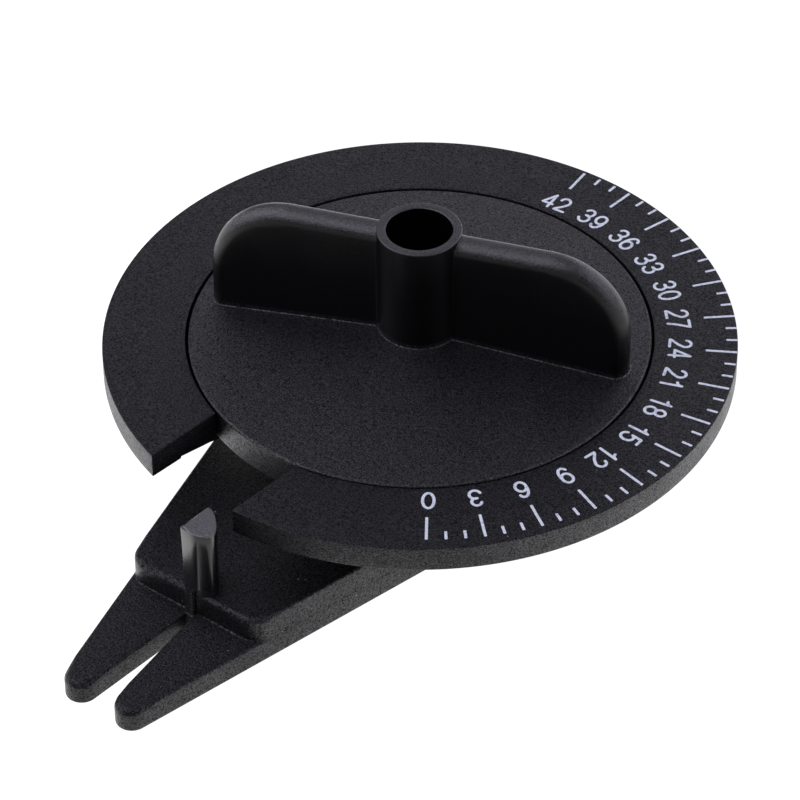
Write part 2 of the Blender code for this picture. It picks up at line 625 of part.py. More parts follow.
def wire(points, radius, sides):
    bm = bmesh.new()
    vs = [Vector(p) for p in points]
    loops = []
    normal = None
    for i, p in enumerate(vs):
        d = (vs[min(i + 1, len(vs) - 1)] - vs[max(i - 1, 0)]).normalized()
        if normal is None:
            normal = d.orthogonal().normalized()
        normal = (normal - d * normal.dot(d)).normalized()
        side = d.cross(normal)
        loops.append([tuple(p + radius * (math.cos(math.tau * k / sides) * normal + math.sin(math.tau * k / sides) * side)) for k in range(sides)])
    return loft(bm, loops, cap_start=True, cap_end=True)


finish("torsion_spring", wire(spring_path(), COIL_WIRE, 6), SPRING_STEEL, base_axis)

# ---------------------------------------------------------------- foot and string posts
foot = finish("string_foot", turned([(0, -SEAT), (FOOT_R - 0.6, -SEAT), (FOOT_R, -SEAT + 0.6), (FOOT_R, FOOT_Z1), (0, FOOT_Z1)], 40), BLACK, base_axis)
holes = bmesh.new()
for y in (-FOOT_SCREW_Y, FOOT_SCREW_Y):
    turned([(0, -SEAT - 1), (2.4, -SEAT - 1), (2.4, -27.0), (1.4, -27.0), (1.4, FOOT_Z1 + 1), (0, FOOT_Z1 + 1)], 16, 0, y, bm=holes)
for x in (-POST_X, POST_X):
    turned([(0, -SEAT - 1), (POST_R + 0.3, -SEAT - 1), (POST_R + 0.3, POST_SEAT + 0.3), (0, POST_SEAT + 0.3)], 16, x, 0, bm=holes)
cut(foot, finish("foot_hole_shapes", holes, BLACK, base_axis))

foot_screw = turned([(0, -28.7), (1.5, -28.7), (2.05, -28.3), (2.05, -27.3), (1.1, -27.3), (1.1, -22.0), (0, -22.0)], 14)
copies("foot_screw", foot_screw, STEEL, base_axis, [("front", 0, -FOOT_SCREW_Y, 0), ("rear", 0, FOOT_SCREW_Y, 0)])

tall = POST_SEAT - POST_BOTTOM
string_post = turned([(0, 0), (POST_R - 0.75, 0), (POST_R - 0.45, 0.25), (POST_R - 0.1, 1.5), (POST_R, 2.4), (POST_R, tall), (0, tall)], 20)
copies("string_post", string_post, STEEL, base_axis, [("left", -POST_X, 0, POST_BOTTOM), ("right", POST_X, 0, POST_BOTTOM)])
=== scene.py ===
import math

import bmesh
import bpy
from mathutils import Matrix, Vector
from mathutils.geometry import tessellate_polygon


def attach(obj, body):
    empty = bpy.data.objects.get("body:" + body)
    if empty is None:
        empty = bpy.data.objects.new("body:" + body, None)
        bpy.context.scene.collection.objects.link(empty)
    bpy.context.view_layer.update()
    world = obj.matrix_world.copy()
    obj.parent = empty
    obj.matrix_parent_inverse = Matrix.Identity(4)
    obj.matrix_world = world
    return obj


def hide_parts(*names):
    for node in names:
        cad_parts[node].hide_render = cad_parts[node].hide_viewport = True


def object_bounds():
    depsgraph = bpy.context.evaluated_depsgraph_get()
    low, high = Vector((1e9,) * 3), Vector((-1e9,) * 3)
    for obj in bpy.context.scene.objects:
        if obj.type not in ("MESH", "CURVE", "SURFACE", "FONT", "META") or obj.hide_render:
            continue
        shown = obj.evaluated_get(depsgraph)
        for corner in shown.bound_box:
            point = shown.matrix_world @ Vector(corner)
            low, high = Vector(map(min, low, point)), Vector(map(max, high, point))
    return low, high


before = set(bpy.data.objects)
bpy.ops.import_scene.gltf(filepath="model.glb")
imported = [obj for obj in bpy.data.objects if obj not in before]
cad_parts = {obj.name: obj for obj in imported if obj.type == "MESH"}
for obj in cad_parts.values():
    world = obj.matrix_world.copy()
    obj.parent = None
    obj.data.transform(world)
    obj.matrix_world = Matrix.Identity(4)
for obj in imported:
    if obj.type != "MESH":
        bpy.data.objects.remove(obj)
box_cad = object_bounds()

# Drawing heights are in millimetres from the dial's top face; SEAT lifts them into the frame.
MM = 0.001
SEAT = 29.0

RING_R, RING_BORE_R, RING_RISE = 40.0, 29.52, 0.30
RING_EDGE_Z, RING_STEP_R, RING_STEP_Z, RING_ROOT_Z = -3.42, 35.4, -3.15, -4.0
NOTCH_HALF, NOTCH_DIR = 7.07, math.radians(-97.4)
FLANGE_R0, FLANGE_R1, FLANGE_Z0, FLANGE_Z1 = 24.0, 31.5, -5.4, -4.3
FLANGE_GAP = math.radians(16.5)

DECK_R, DECK_EDGE_Z, DECK_SLOPE, DECK_ROUND = 29.23, 0.33, 0.070, 0.38
SKIRT_Z, SKIRT_R0 = -4.0, 27.5
TUBE_R, TUBE_BORE_R, TUBE_TOP = 5.34, 4.15, 16.85
WEB_R, WEB_Z0, WEB_Z1 = 3.3, -1.0, 1.0
BOSS_R, BOSS_Z = 6.0, -12.0
WING_DIR = math.radians(20.5)
WING_LEN, WING_TOP, WING_FLAT, WING_CORNER_Z = 27.2, 16.62, 16.75, 5.7
WING_EDGE_R, WING_FOOT_HALF, WING_BLEND, WING_FLARE = 1.8, 2.2, 0.45, 0.22

SCREW_BOSS_R, SCREW_BOSS_PCR, SCREW_BOSS_Z = 2.7, 20.5, -5.4
SCREW_ANGLES = [math.radians(a) for a in (-30.0, 90.0, 210.0)]
COIL_R, COIL_TURNS = 8.8, 4.5
LEG_TOP_ANGLE = 0.0
TAB_ANGLE, TAB_R, TAB_HALF = math.radians(90.0), 17.0, 2.0
STOP_R, STOP_PIN_R, STOP_BOTTOM, TURN = 17.0, 1.0, -13.2, math.radians(190.0)

ARM_Z0, PRONG_Z, ARM_Z1 = -16.6, -13.38, -10.05
ARM_W0, ARM_S0, ARM_TAPER = 10.2, 44.8, 0.2432
STEP_S, STEP_CORNER_R = 45.8, 2.8
TIP_S, TIP_W, TIP_R = 62.0, 3.92, 2.06
SLOT_S, SLOT_W, SLOT_TAPER = 46.55, 0.46, 0.0881
POST_TOP = -0.3
CUP_R, CUP_BORE_R, CUP_Z, CUP_FLOOR = 15.0, 12.8, -24.5, -21.0
CORE_R, CORE_TOP, CORE_BORE_R = 5.2, -14.7, 2.8
HEAD_POCKET_R, HEAD_POCKET_Z = 4.6, -22.6
FOOT_SCREW_Y = 6.7


# ---------------------------------------------------------------- mesh helpers
def settle(bm):
    bmesh.ops.remove_doubles(bm, verts=bm.verts, dist=2e-4)
    bmesh.ops.dissolve_degenerate(bm, dist=1e-5, edges=bm.edges)
    bmesh.ops.recalc_face_normals(bm, faces=bm.faces)
    return bm


def piece(name, bm, mat, angle=32.0):
    """A new object from a bmesh drawn in millimetres."""
    settle(bm)
    bmesh.ops.transform(bm, matrix=Matrix.Translation((0, 0, SEAT * MM)) @ Matrix.Scale(MM, 4), verts=bm.verts)
    mesh = bpy.data.meshes.new(name)
    bm.to_mesh(mesh)
    bm.free()
    if mat:
        mesh.materials.append(mat)
    mesh.shade_smooth()
    mesh.set_sharp_from_angle(angle=math.radians(angle))
    ob = bpy.data.objects.new(name, mesh)
    bpy.context.scene.collection.objects.link(ob)
    return ob


def carve(ob, bm, operation="DIFFERENCE"):
    """Joins or cuts another shape and keeps the result in the mesh."""
    tool = piece("carving_shape", bm, None)
    m = ob.modifiers.new("carve", "BOOLEAN")
    m.operation = operation
    m.solver = "EXACT"
    m.object = tool
    dg = bpy.context.evaluated_depsgraph_get()
    made = bpy.data.meshes.new_from_object(ob.evaluated_get(dg), depsgraph=dg)
    ob.modifiers.clear()
    old = ob.data
    made.name = ob.name
    ob.data = made
    bpy.data.meshes.remove(old)
    bpy.data.objects.remove(tool)
    return ob


def reshade(ob, angle=32.0):
    """Merges points a Boolean left on top of each other and marks the sharp edges again."""
    bm = bmesh.new()
    bm.from_mesh(ob.data)
    bmesh.ops.remove_doubles(bm, verts=bm.verts, dist=1.5e-6)
    bmesh.ops.dissolve_degenerate(bm, dist=5e-7, edges=bm.edges)
    bm.to_mesh(ob.data)
    bm.free()
    ob.data.shade_smooth()
    ob.data.set_sharp_from_angle(angle=math.radians(angle))


def loft(bm, loops, ring=False, cap_start=False, cap_end=False):
    rows = [[bm.verts.new(p) for p in loop] for loop in loops]
    pairs = list(zip(rows, rows[1:])) + ([(rows[-1], rows[0])] if ring else [])
    n = len(rows[0])
    for a, b in pairs:
        for i in range(n):
            j = (i + 1) % n
            bm.faces.new((a[i], a[j], b[j], b[i]))
    if cap_start:
        bm.faces.new(list(reversed(rows[0])))
    if cap_end:
        bm.faces.new(rows[-1])
    return bm


def circle(r, z, n, x=0.0, y=0.0, a0=0.0):
    return [(x + r * math.cos(a0 + math.tau * i / n), y + r * math.sin(a0 + math.tau * i / n), z) for i in range(n)]


def turned(profile, n, x=0.0, y=0.0, a0=0.0, bm=None):
    bm = bm or bmesh.new()
    if profile[0][0] < 1e-6 and profile[-1][0] < 1e-6:
        return loft(bm, [circle(r, z, n, x, y, a0) for r, z in profile[1:-1]], cap_start=True, cap_end=True)
    return loft(bm, [circle(r, z, n, x, y, a0) for r, z in profile], ring=True)


def prism(outline, z0, z1, bm=None):
    bm = bm or bmesh.new()
    return loft(bm, [[(x, y, z0) for x, y in outline], [(x, y, z1) for x, y in outline]], cap_start=True, cap_end=True)


def arc(cx, cy, r, a0, a1, n):
    return [(cx + r * math.cos(a0 + (a1 - a0) * i / n), cy + r * math.sin(a0 + (a1 - a0) * i / n)) for i in range(n + 1)]


def turn(points, angle):
    c, s = math.cos(angle), math.sin(angle)
    return [(x * c - y * s, x * s + y * c) for x, y in points]


def inset(outline, amount):
    """Moves each corner of an anticlockwise outline inwards; amount is one number or one for each point."""
    n = len(outline)
    out = []
    for i in range(n):
        x0, y0 = outline[i - 1]
        x1, y1 = outline[i]
        x2, y2 = outline[(i + 1) % n]
        ax, ay, bx, by = x1 - x0, y1 - y0, x2 - x1, y2 - y1
        la, lb = math.hypot(ax, ay) or 1e-9, math.hypot(bx, by) or 1e-9
        n1 = (-ay / la, ax / la)
        n2 = (-by / lb, bx / lb)
        k = 1 + n1[0] * n2[0] + n1[1] * n2[1]
        k = max(k, 0.35)
        d = amount[i] if isinstance(amount, (list, tuple)) else amount
        out.append((x1 + d * (n1[0] + n2[0]) / k, y1 + d * (n1[1] + n2[1]) / k))
    return out


def refine(outline, step):
    """Adds points so that no side is longer than step."""
    out = []
    n = len(outline)
    for i in range(n):
        x0, y0 = outline[i]
        x1, y1 = outline[(i + 1) % n]
        k = max(1, int(math.ceil(math.hypot(x1 - x0, y1 - y0) / step)))
        for j in range(k):
            out.append((x0 + (x1 - x0) * j / k, y0 + (y1 - y0) * j / k))
    return out


# ---------------------------------------------------------------- materials
def nodes_of(name):
    m = bpy.data.materials.new(name)
    m.use_nodes = True
    nt = m.node_tree
    return m, nt, nt.nodes["Principled BSDF"]


class Net:
    """Small wrapper that adds nodes and links them."""

    def __init__(self, nt):
        self.nt = nt
        self.coord = nt.nodes.new("ShaderNodeTexCoord").outputs["Object"]

    def link(self, a, b):
        self.nt.links.new(a, b)

    def noise(self, scale, detail=2.0, rough=0.5, vector=None, distortion=0.0):
        n = self.nt.nodes.new("ShaderNodeTexNoise")
        n.inputs["Scale"].default_value = scale
        n.inputs["Detail"].default_value = detail
        n.inputs["Roughness"].default_value = rough
        n.inputs["Distortion"].default_value = distortion
        self.link(vector or self.coord, n.inputs["Vector"])
        return n.outputs["Fac"]

    def voronoi(self, scale, feature="F1", randomness=1.0, vector=None):
        n = self.nt.nodes.new("ShaderNodeTexVoronoi")
        n.feature = feature
        n.inputs["Scale"].default_value = scale
        n.inputs["Randomness"].default_value = randomness
        self.link(vector or self.coord, n.inputs["Vector"])
        return n

    def ramp(self, value, lo, hi, to_lo=0.0, to_hi=1.0, smooth=True):
        n = self.nt.nodes.new("ShaderNodeMapRange")
        n.interpolation_type = "SMOOTHSTEP" if smooth else "LINEAR"
        n.inputs["From Min"].default_value = lo
        n.inputs["From Max"].default_value = hi
        n.inputs["To Min"].default_value = to_lo
        n.inputs["To Max"].default_value = to_hi
        self.link(value, n.inputs["Value"])
        return n.outputs["Result"]

    def math(self, op, a, b=None):
        n = self.nt.nodes.new("ShaderNodeMath")
        n.operation = op
        for k, v in ((0, a), (1, b)):
            if v is None:
                continue
            if isinstance(v, (int, float)):
                n.inputs[k].default_value = v
            else:
                self.link(v, n.inputs[k])
        return n.outputs[0]

    def mix(self, fac, a, b):
        n = self.nt.nodes.new("ShaderNodeMix")
        n.data_type = "RGBA"
        self.link(fac, n.inputs["Factor"])
        for socket, v in (("A", a), ("B", b)):
            s = [i for i in n.inputs if i.name == socket and i.type == "RGBA"][0]
            if isinstance(v, tuple):
                s.default_value = (*v, 1.0)
            else:
                self.link(v, s)
        return [o for o in n.outputs if o.type == "RGBA"][0]

    def bump(self, height, strength, distance, normal=None):
        n = self.nt.nodes.new("ShaderNodeBump")
        n.inputs["Strength"].default_value = strength
        n.inputs["Distance"].default_value = distance
        self.link(height, n.inputs["Height"])
        if normal:
            self.link(normal, n.inputs["Normal"])
        return n.outputs["Normal"]


def moulded(name, base, grain, grain_mm, rough, rough_var, dust, pits=0.0, ior=1.5, mottle=0.25, sparkle=0.45, polished=None, speck_mm=2.6, sheen=0.5, polished_sheen=0.5, coat=0.0, least_grain=0.10, grain_and_painted_highlight=None, painted_highlight_sheen=2.0):
    """Black moulded plastic: spark-eroded grain whose dots differ in gloss, a few pits and specks of dust.

    polished gives the share of a smooth, glossier finish from place to place. A second mask marks places that keep more
    grain and take a painted highlight: extra sheen and a lighter colour.
    """
    m, nt, b = nodes_of(name)
    net = Net(nt)
    per_m = 1000.0
    smooth_part = polished(net) if polished else 0.0
    # the second mask: grain kept there, plus a painted highlight of extra sheen and a lighter colour
    top = grain_and_painted_highlight(net) if grain_and_painted_highlight else 0.0
    smooth_part = net.math("MULTIPLY", smooth_part, net.math("SUBTRACT", 1.0, top)) if grain_and_painted_highlight else smooth_part
    grained = net.math("SUBTRACT", 1.0, smooth_part)
    fine = net.noise(per_m / grain_mm, 3.0, 0.62)
    finer = net.noise(per_m / (grain_mm * 0.55), 2.0, 0.5)
    coarse = net.noise(per_m / (grain_mm * 2.6), 2.0, 0.5)
    broad = net.noise(per_m / 6.0, 2.0, 0.5)
    cloud = net.noise(per_m / 18.0, 2.0, 0.5, distortion=0.6)
    height = net.math("ADD", fine, net.math("MULTIPLY", finer, 0.5))
    height = net.math("ADD", height, net.math("MULTIPLY", coarse, 0.35))
    if pits:
        cells = net.voronoi(per_m / 1.15)
        pit = net.ramp(cells.outputs["Distance"], 0.05, 0.20, 0.0, 1.0)
        keep = net.ramp(net.noise(per_m / 2.3, 1.0), 0.46, 0.60, 1.0, 0.0)
        pit = net.math("MAXIMUM", pit, keep)
        height = net.math("ADD", height, net.math("MULTIPLY", pit, pits))
    bump = net.bump(height, grain, 0.00016)
    strength = net.math("MULTIPLY", net.math("ADD", net.math("MULTIPLY", grained, 1.0 - least_grain), least_grain), grain)
    net.link(strength, bump.node.inputs["Strength"])
    net.link(bump, b.inputs["Normal"])
    dots = net.math("ADD", net.ramp(fine, 0.34, 0.66, -1.0, 1.0, smooth=False), net.ramp(finer, 0.30, 0.70, -0.8, 0.8, smooth=False))
    dots = net.math("ADD", dots, net.ramp(coarse, 0.30, 0.70, -0.25, 0.25, smooth=False))
    dots = net.math("MULTIPLY", dots, grained)
    level = net.math("ADD", sheen, net.math("MULTIPLY", smooth_part, polished_sheen - sheen))
    # painted highlight: extra sheen added under the second mask
    level = net.math("ADD", level, net.math("MULTIPLY", top, painted_highlight_sheen)) if grain_and_painted_highlight else level
    gloss = net.math("ADD", level, net.math("MULTIPLY", dots, sheen * sparkle))
    net.link(net.math("MAXIMUM", gloss, 0.06), b.inputs["Specular IOR Level"])
    dark = tuple(c * (1 - mottle) for c in base)
    light = tuple(c * (1 + mottle) for c in base)
    colour = net.mix(net.ramp(fine, 0.35, 0.65), dark, light)
    specks = net.voronoi(per_m / speck_mm)
    speck = net.ramp(specks.outputs["Distance"], 0.075 / speck_mm, 0.14 / speck_mm, 1.0, 0.0)
    where = net.ramp(net.noise(per_m / 3.4, 2.0), 0.56, 0.66)
    speck = net.math("MULTIPLY", net.math("MULTIPLY", speck, where), dust)
    hair = net.ramp(net.noise(per_m / 0.24, 1.0, 0.4), 0.72, 0.80)
    speck = net.math("MAXIMUM", speck, net.math("MULTIPLY", hair, dust * 0.35))
    speck = net.math("MULTIPLY", speck, net.math("ADD", net.math("MULTIPLY", grained, 0.75), 0.25))
    colour = net.mix(speck, colour, (0.42, 0.42, 0.44))
    if polished:
        # polished parts are darker; under the second mask less of this darkening is applied, so the colour there is
        # lighter, part of the painted highlight
        colour = net.mix(net.math("MULTIPLY", smooth_part, 0.75), colour, (0.0006, 0.0006, 0.0008))
    net.link(colour, b.inputs["Base Color"])
    r = net.math("ADD", net.ramp(broad, 0.3, 0.7, rough - rough_var, rough + rough_var), net.ramp(cloud, 0.3, 0.7, -rough_var * 0.6, rough_var * 0.6))
    r = net.math("ADD", r, net.math("MULTIPLY", net.ramp(finer, 0.3, 0.7, -0.5, 0.5), rough_var))
    r = net.math("ADD", net.math("MULTIPLY", r, grained), net.math("MULTIPLY", net.ramp(broad, 0.3, 0.7, 0.22, 0.27), smooth_part))
    net.link(r, b.inputs["Roughness"])
    b.inputs["IOR"].default_value = ior
    if coat:
        net.link(net.math("MULTIPLY", smooth_part, coat), b.inputs["Coat Weight"])
        b.inputs["Coat Roughness"].default_value = 0.16
    return m


def metal(name, base, rough, spacing_mm, turned_marks=True, tint=(0.30, 0.24, 0.18), stain=0.12):
    """Plated or drawn steel: fine tool marks round the part, faint stains, worn gloss."""
    m, nt, b = nodes_of(name)
    net = Net(nt)
    sep = nt.nodes.new("ShaderNodeSeparateXYZ")
    net.link(net.coord, sep.inputs[0])
    stretch = nt.nodes.new("ShaderNodeVectorMath")
    stretch.operation = "MULTIPLY"
    stretch.inputs[1].default_value = (1.0, 1.0, 14.0) if turned_marks else (1.0, 1.0, 1.0)
    net.link(net.coord, stretch.inputs[0])
    marks = net.noise(1000.0 / spacing_mm, 2.0, 0.5, vector=stretch.outputs[0])
    blotch = net.noise(1000.0 / 3.0, 3.0, 0.6)
    fine = net.noise(1000.0 / 0.25, 2.0, 0.5)
    net.link(net.bump(net.math("ADD", marks, net.math("MULTIPLY", fine, 0.4)), 0.25, 0.00003), b.inputs["Normal"])
    net.link(net.mix(net.ramp(blotch, 0.50, 0.75, 0.0, stain), base, tint), b.inputs["Base Color"])
    net.link(net.ramp(net.math("ADD", blotch, net.math("MULTIPLY", marks, 0.5)), 0.4, 1.1, rough - 0.08, rough + 0.14), b.inputs["Roughness"])
    b.inputs["Metallic"].default_value = 1.0
    return m


def above_deck(net):
    """The wings and the tube: everything more than a little above the deck's cone."""
    sep = net.nt.nodes.new("ShaderNodeSeparateXYZ")
    net.link(net.coord, sep.inputs[0])
    r = net.math("SQRT", net.math("ADD", net.math("MULTIPLY", sep.outputs["X"], sep.outputs["X"]), net.math("MULTIPLY", sep.outputs["Y"], sep.outputs["Y"])))
    cone = net.math("MULTIPLY", net.math("MAXIMUM", net.math("SUBTRACT", (DECK_R - 1.0) * MM, r), 0.0), DECK_SLOPE)
    rise = net.math("SUBTRACT", net.math("SUBTRACT", sep.outputs["Z"], (SEAT + DECK_EDGE_Z) * MM), cone)
    return net.ramp(rise, 0.0003, 0.0009)


def wing_edges(net):
    """The rounded top edges of the wings and the tube's rim, picked out by facing upwards: they keep more of the grain
    and take a painted highlight, extra sheen and a lighter colour.
    """
    sep = net.nt.nodes.new("ShaderNodeSeparateXYZ")
    net.link(net.coord.node.outputs["Normal"], sep.inputs[0])
    return net.math("MULTIPLY", net.math("MULTIPLY", net.ramp(sep.outputs["Z"], 0.10, 0.55), above_deck(net)), 0.6)


def post_crown(net):
    """The pointer post's top: grained, with a painted highlight of extra sheen and a lighter colour."""
    sep = net.nt.nodes.new("ShaderNodeSeparateXYZ")
    net.link(net.coord, sep.inputs[0])
    return net.ramp(sep.outputs["Z"], (SEAT + POST_TOP - 0.10) * MM, (SEAT + POST_TOP - 0.03) * MM)


def above_arm(net):
    """The pointer post."""
    sep = net.nt.nodes.new("ShaderNodeSeparateXYZ")
    net.link(net.coord, sep.inputs[0])
    return net.ramp(sep.outputs["Z"], (SEAT + ARM_Z1 + 0.4) * MM, (SEAT + ARM_Z1 + 1.1) * MM)


# The deck's wing tops and tube rim take a painted highlight: extra sheen and a lighter colour where they face upwards.
DECK = moulded("abs_deck", (0.0050, 0.0049, 0.0062), 0.50, 0.21, 0.34, 0.05, 0.30, polished=above_deck, sheen=0.64, polished_sheen=0.40, coat=0.0, least_grain=0.50, sparkle=0.90, grain_and_painted_highlight=wing_edges, painted_highlight_sheen=0.9)
DIAL = moulded("abs_dial", (0.0055, 0.0054, 0.0068), 0.55, 0.23, 0.37, 0.05, 0.45, speck_mm=2.2, sheen=0.38, sparkle=0.80)
# The post's top takes a painted highlight: extra sheen and a lighter colour.
ARM = moulded("abs_arm", (0.0050, 0.0049, 0.0060), 0.62, 0.26, 0.35, 0.06, 0.80, pits=1.0, polished=above_arm, speck_mm=1.5, sheen=0.38, polished_sheen=0.72, coat=0.20, sparkle=0.85, grain_and_painted_highlight=post_crown)
FOOT = moulded("abs_foot", (0.0050, 0.0049, 0.0060), 0.55, 0.30, 0.38, 0.06, 0.5, pits=0.6, sheen=0.42)

PLATED = metal("plated_steel_look", (0.60, 0.60, 0.58), 0.27, 0.35)
SPRING = metal("spring_steel_look", (0.36, 0.35, 0.34), 0.33, 0.5, turned_marks=False, tint=(0.16, 0.13, 0.12), stain=0.35)


def acetal():
    m, nt, b = nodes_of("acetal_look")
    net = Net(nt)
    broad = net.noise(1000.0 / 4.0, 2.0)
    fine = net.noise(1000.0 / 0.2, 2.0)
    net.link(net.mix(net.ramp(broad, 0.4, 0.7), (0.74, 0.73, 0.69), (0.66, 0.64, 0.58)), b.inputs["Base Color"])
    net.link(net.ramp(fine, 0.3, 0.7, 0.36, 0.5), b.inputs["Roughness"])
    net.link(net.bump(fine, 0.2, 0.00003), b.inputs["Normal"])
    b.inputs["Subsurface Weight"].default_value = 0.15
    b.inputs["Subsurface Scale"].default_value = 0.001
    return m


def rubber():
    m, nt, b = nodes_of("rubber_look")
    net = Net(nt)
    fine = net.noise(1000.0 / 0.15, 2.0)
    bloom = net.noise(1000.0 / 2.5, 3.0, 0.6)
    net.link(net.mix(net.ramp(bloom, 0.45, 0.75), (0.010, 0.010, 0.010), (0.030, 0.030, 0.029)), b.inputs["Base Color"])
    net.link(net.ramp(fine, 0.3, 0.7, 0.62, 0.8), b.inputs["Roughness"])
    net.link(net.bump(fine, 0.25, 0.00004), b.inputs["Normal"])
    return m


def ink():
    """Pad-printed scale: slightly broken, semi-matt, a little blue."""
    m, nt, b = nodes_of("scale_ink")
    net = Net(nt)
    wear = net.noise(1000.0 / 0.5, 3.0, 0.7)
    fine = net.noise(1000.0 / 0.12, 2.0)
    net.link(net.mix(net.ramp(wear, 0.30, 0.52), (0.50, 0.55, 0.66), (0.86, 0.92, 1.0)), b.inputs["Base Color"])
    net.link(net.ramp(fine, 0.3, 0.7, 0.45, 0.62), b.inputs["Roughness"])
    net.link(net.bump(fine, 0.2, 0.00002), b.inputs["Normal"])
    return m


ACETAL, RUBBER, INK = acetal(), rubber(), ink()


# ---------------------------------------------------------------- dial ring
def quarter(cx, cz, r, a0, a1, n):
    return [(cx + r * math.cos(math.radians(a0 + (a1 - a0) * i / n)), cz + r * math.sin(math.radians(a0 + (a1 - a0) * i / n))) for i in range(n + 1)]


def ring_profile():
    """Anticlockwise outline (r, z) of the ring: rounded outer top edge, smaller rounds elsewhere."""
    top_r, low_r, bore_r = 0.12, 0.10, 0.12
    rise = RING_RISE / (RING_R - RING_BORE_R)
    pts = []
    pts += quarter(RING_R - low_r, RING_EDGE_Z + low_r, low_r, -90, 0, 4)
    pts += [(RING_R, -2.4), (RING_R, -1.6), (RING_R, -0.9)]
    pts += quarter(RING_R - top_r, -top_r, top_r, 0, 90, 7)
    pts += [(r, rise * (RING_R - r)) for r in (38.5, 36.5, 34.2, 32.0, 30.6)]
    pts += quarter(RING_BORE_R + bore_r, RING_RISE - bore_r, bore_r, 90, 180, 4)
    pts += [(RING_BORE_R, -1.4), (RING_BORE_R, -2.8), (RING_BORE_R, RING_ROOT_Z)]
    pts += [(31.6, RING_ROOT_Z + (RING_STEP_Z - RING_ROOT_Z) * 0.34), (RING_STEP_R - 0.1, RING_STEP_Z), (RING_STEP_R, RING_EDGE_Z), (37.5, RING_EDGE_Z)]
    return pts


def swept_ring(profile, n, edge=0.10):
    """Sweeps the outline round the axis, with the parallel-sided notch; the outline draws in a little at each cut."""
    bm = bmesh.new()
    rows = []
    k = 4
    ends = [(edge * (1 - math.sin(math.pi / 2 * i / k)), edge * (1 - math.cos(math.pi / 2 * i / k))) for i in range(k + 1)]
    # (how far in from the cut, how much the outline is drawn in there)
    starts = [(back, draw) for draw, back in ends]
    shapes = []
    for back, draw in starts:
        shapes.append((back, inset(profile, draw)))

    def row(shape, back, share):
        out = []
        for r, z in shape:
            half = math.asin((NOTCH_HALF + back) / r)
            a = NOTCH_DIR + half + (math.tau - 2 * half) * share
            out.append(bm.verts.new((r * math.cos(a), r * math.sin(a), z)))
        return out

    for back, shape in shapes:
        rows.append(row(shape, back, 0.0))
    last_back = shapes[-1][0]
    for i in range(1, n):
        rows.append(row(profile, last_back, i / n))
    for back, shape in reversed(shapes):
        rows.append(row(shape, back, 1.0))
    m = len(profile)
    for a, b in zip(rows, rows[1:]):
        for i in range(m):
            j = (i + 1) % m
            bm.faces.new((a[i], a[j], b[j], b[i]))
    bm.faces.new(list(reversed(rows[0])))
    bm.faces.new(rows[-1])
    return bm


dial = piece("dial_plate", swept_ring(ring_profile(), 264), DIAL)
flange = bmesh.new()
flange_profile = [(FLANGE_R0, FLANGE_Z0), (FLANGE_R1 - 0.15, FLANGE_Z0), (FLANGE_R1, FLANGE_Z0 + 0.2), (FLANGE_R1 - 0.2, -2.6),
                  (RING_BORE_R + 0.35, -2.6), (RING_BORE_R + 0.35, FLANGE_Z1), (FLANGE_R0, FLANGE_Z1)]
rows = []
for i in range(181):
    a = NOTCH_DIR + FLANGE_GAP + (math.tau - 2 * FLANGE_GAP) * i / 180
    rows.append([flange.verts.new((r * math.cos(a), r * math.sin(a), z)) for r, z in flange_profile])
for a, b in zip(rows, rows[1:]):
    for i in range(len(flange_profile)):
        j = (i + 1) % len(flange_profile)
        flange.faces.new((a[i], a[j], b[j], b[i]))
flange.faces.new(list(reversed(rows[0])))
flange.faces.new(rows[-1])
carve(dial, flange, "UNION")
reshade(dial)
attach(dial, "ring")
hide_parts("dial_ring")


# ---------------------------------------------------------------- knob
def deck_z(r):
    return DECK_EDGE_Z + DECK_SLOPE * max(0.0, DECK_R - 1.0 - r)


def wing_outline_distance(x, z):
    best = 1e9 if x > WING_FLAT else WING_TOP - z
    ax, az = WING_LEN - WING_FLAT, WING_TOP - WING_CORNER_Z
    for i in range(121):
        t = math.pi / 2 * i / 120
        best = min(best, math.hypot(WING_FLAT + ax * math.cos(t) - x, WING_CORNER_Z + az * math.sin(t) - z))
    if z < WING_CORNER_Z:
        best = min(best, WING_LEN - x)
    return best


def wing_reach(z):
    if z <= WING_CORNER_Z:
        return WING_LEN
    u = min(1.0, (z - WING_CORNER_Z) / (WING_TOP - WING_CORNER_Z))
    return WING_FLAT + (WING_LEN - WING_FLAT) * math.sqrt(max(0.0, 1 - u * u))


def wing_station(z, depth):
    hi = wing_reach(z)
    if depth < 1e-6:
        return hi
    lo = WING_FLAT * 0.6
    for _ in range(22):
        mid = (lo + hi) / 2
        if wing_outline_distance(mid, z) >= depth:
            lo = mid
        else:
            hi = mid
    return lo


def wing_half(z):
    t = min(1.0, max(0.0, z / (WING_TOP - WING_EDGE_R)))
    return WING_FOOT_HALF + (WING_EDGE_R - WING_FOOT_HALF) * t


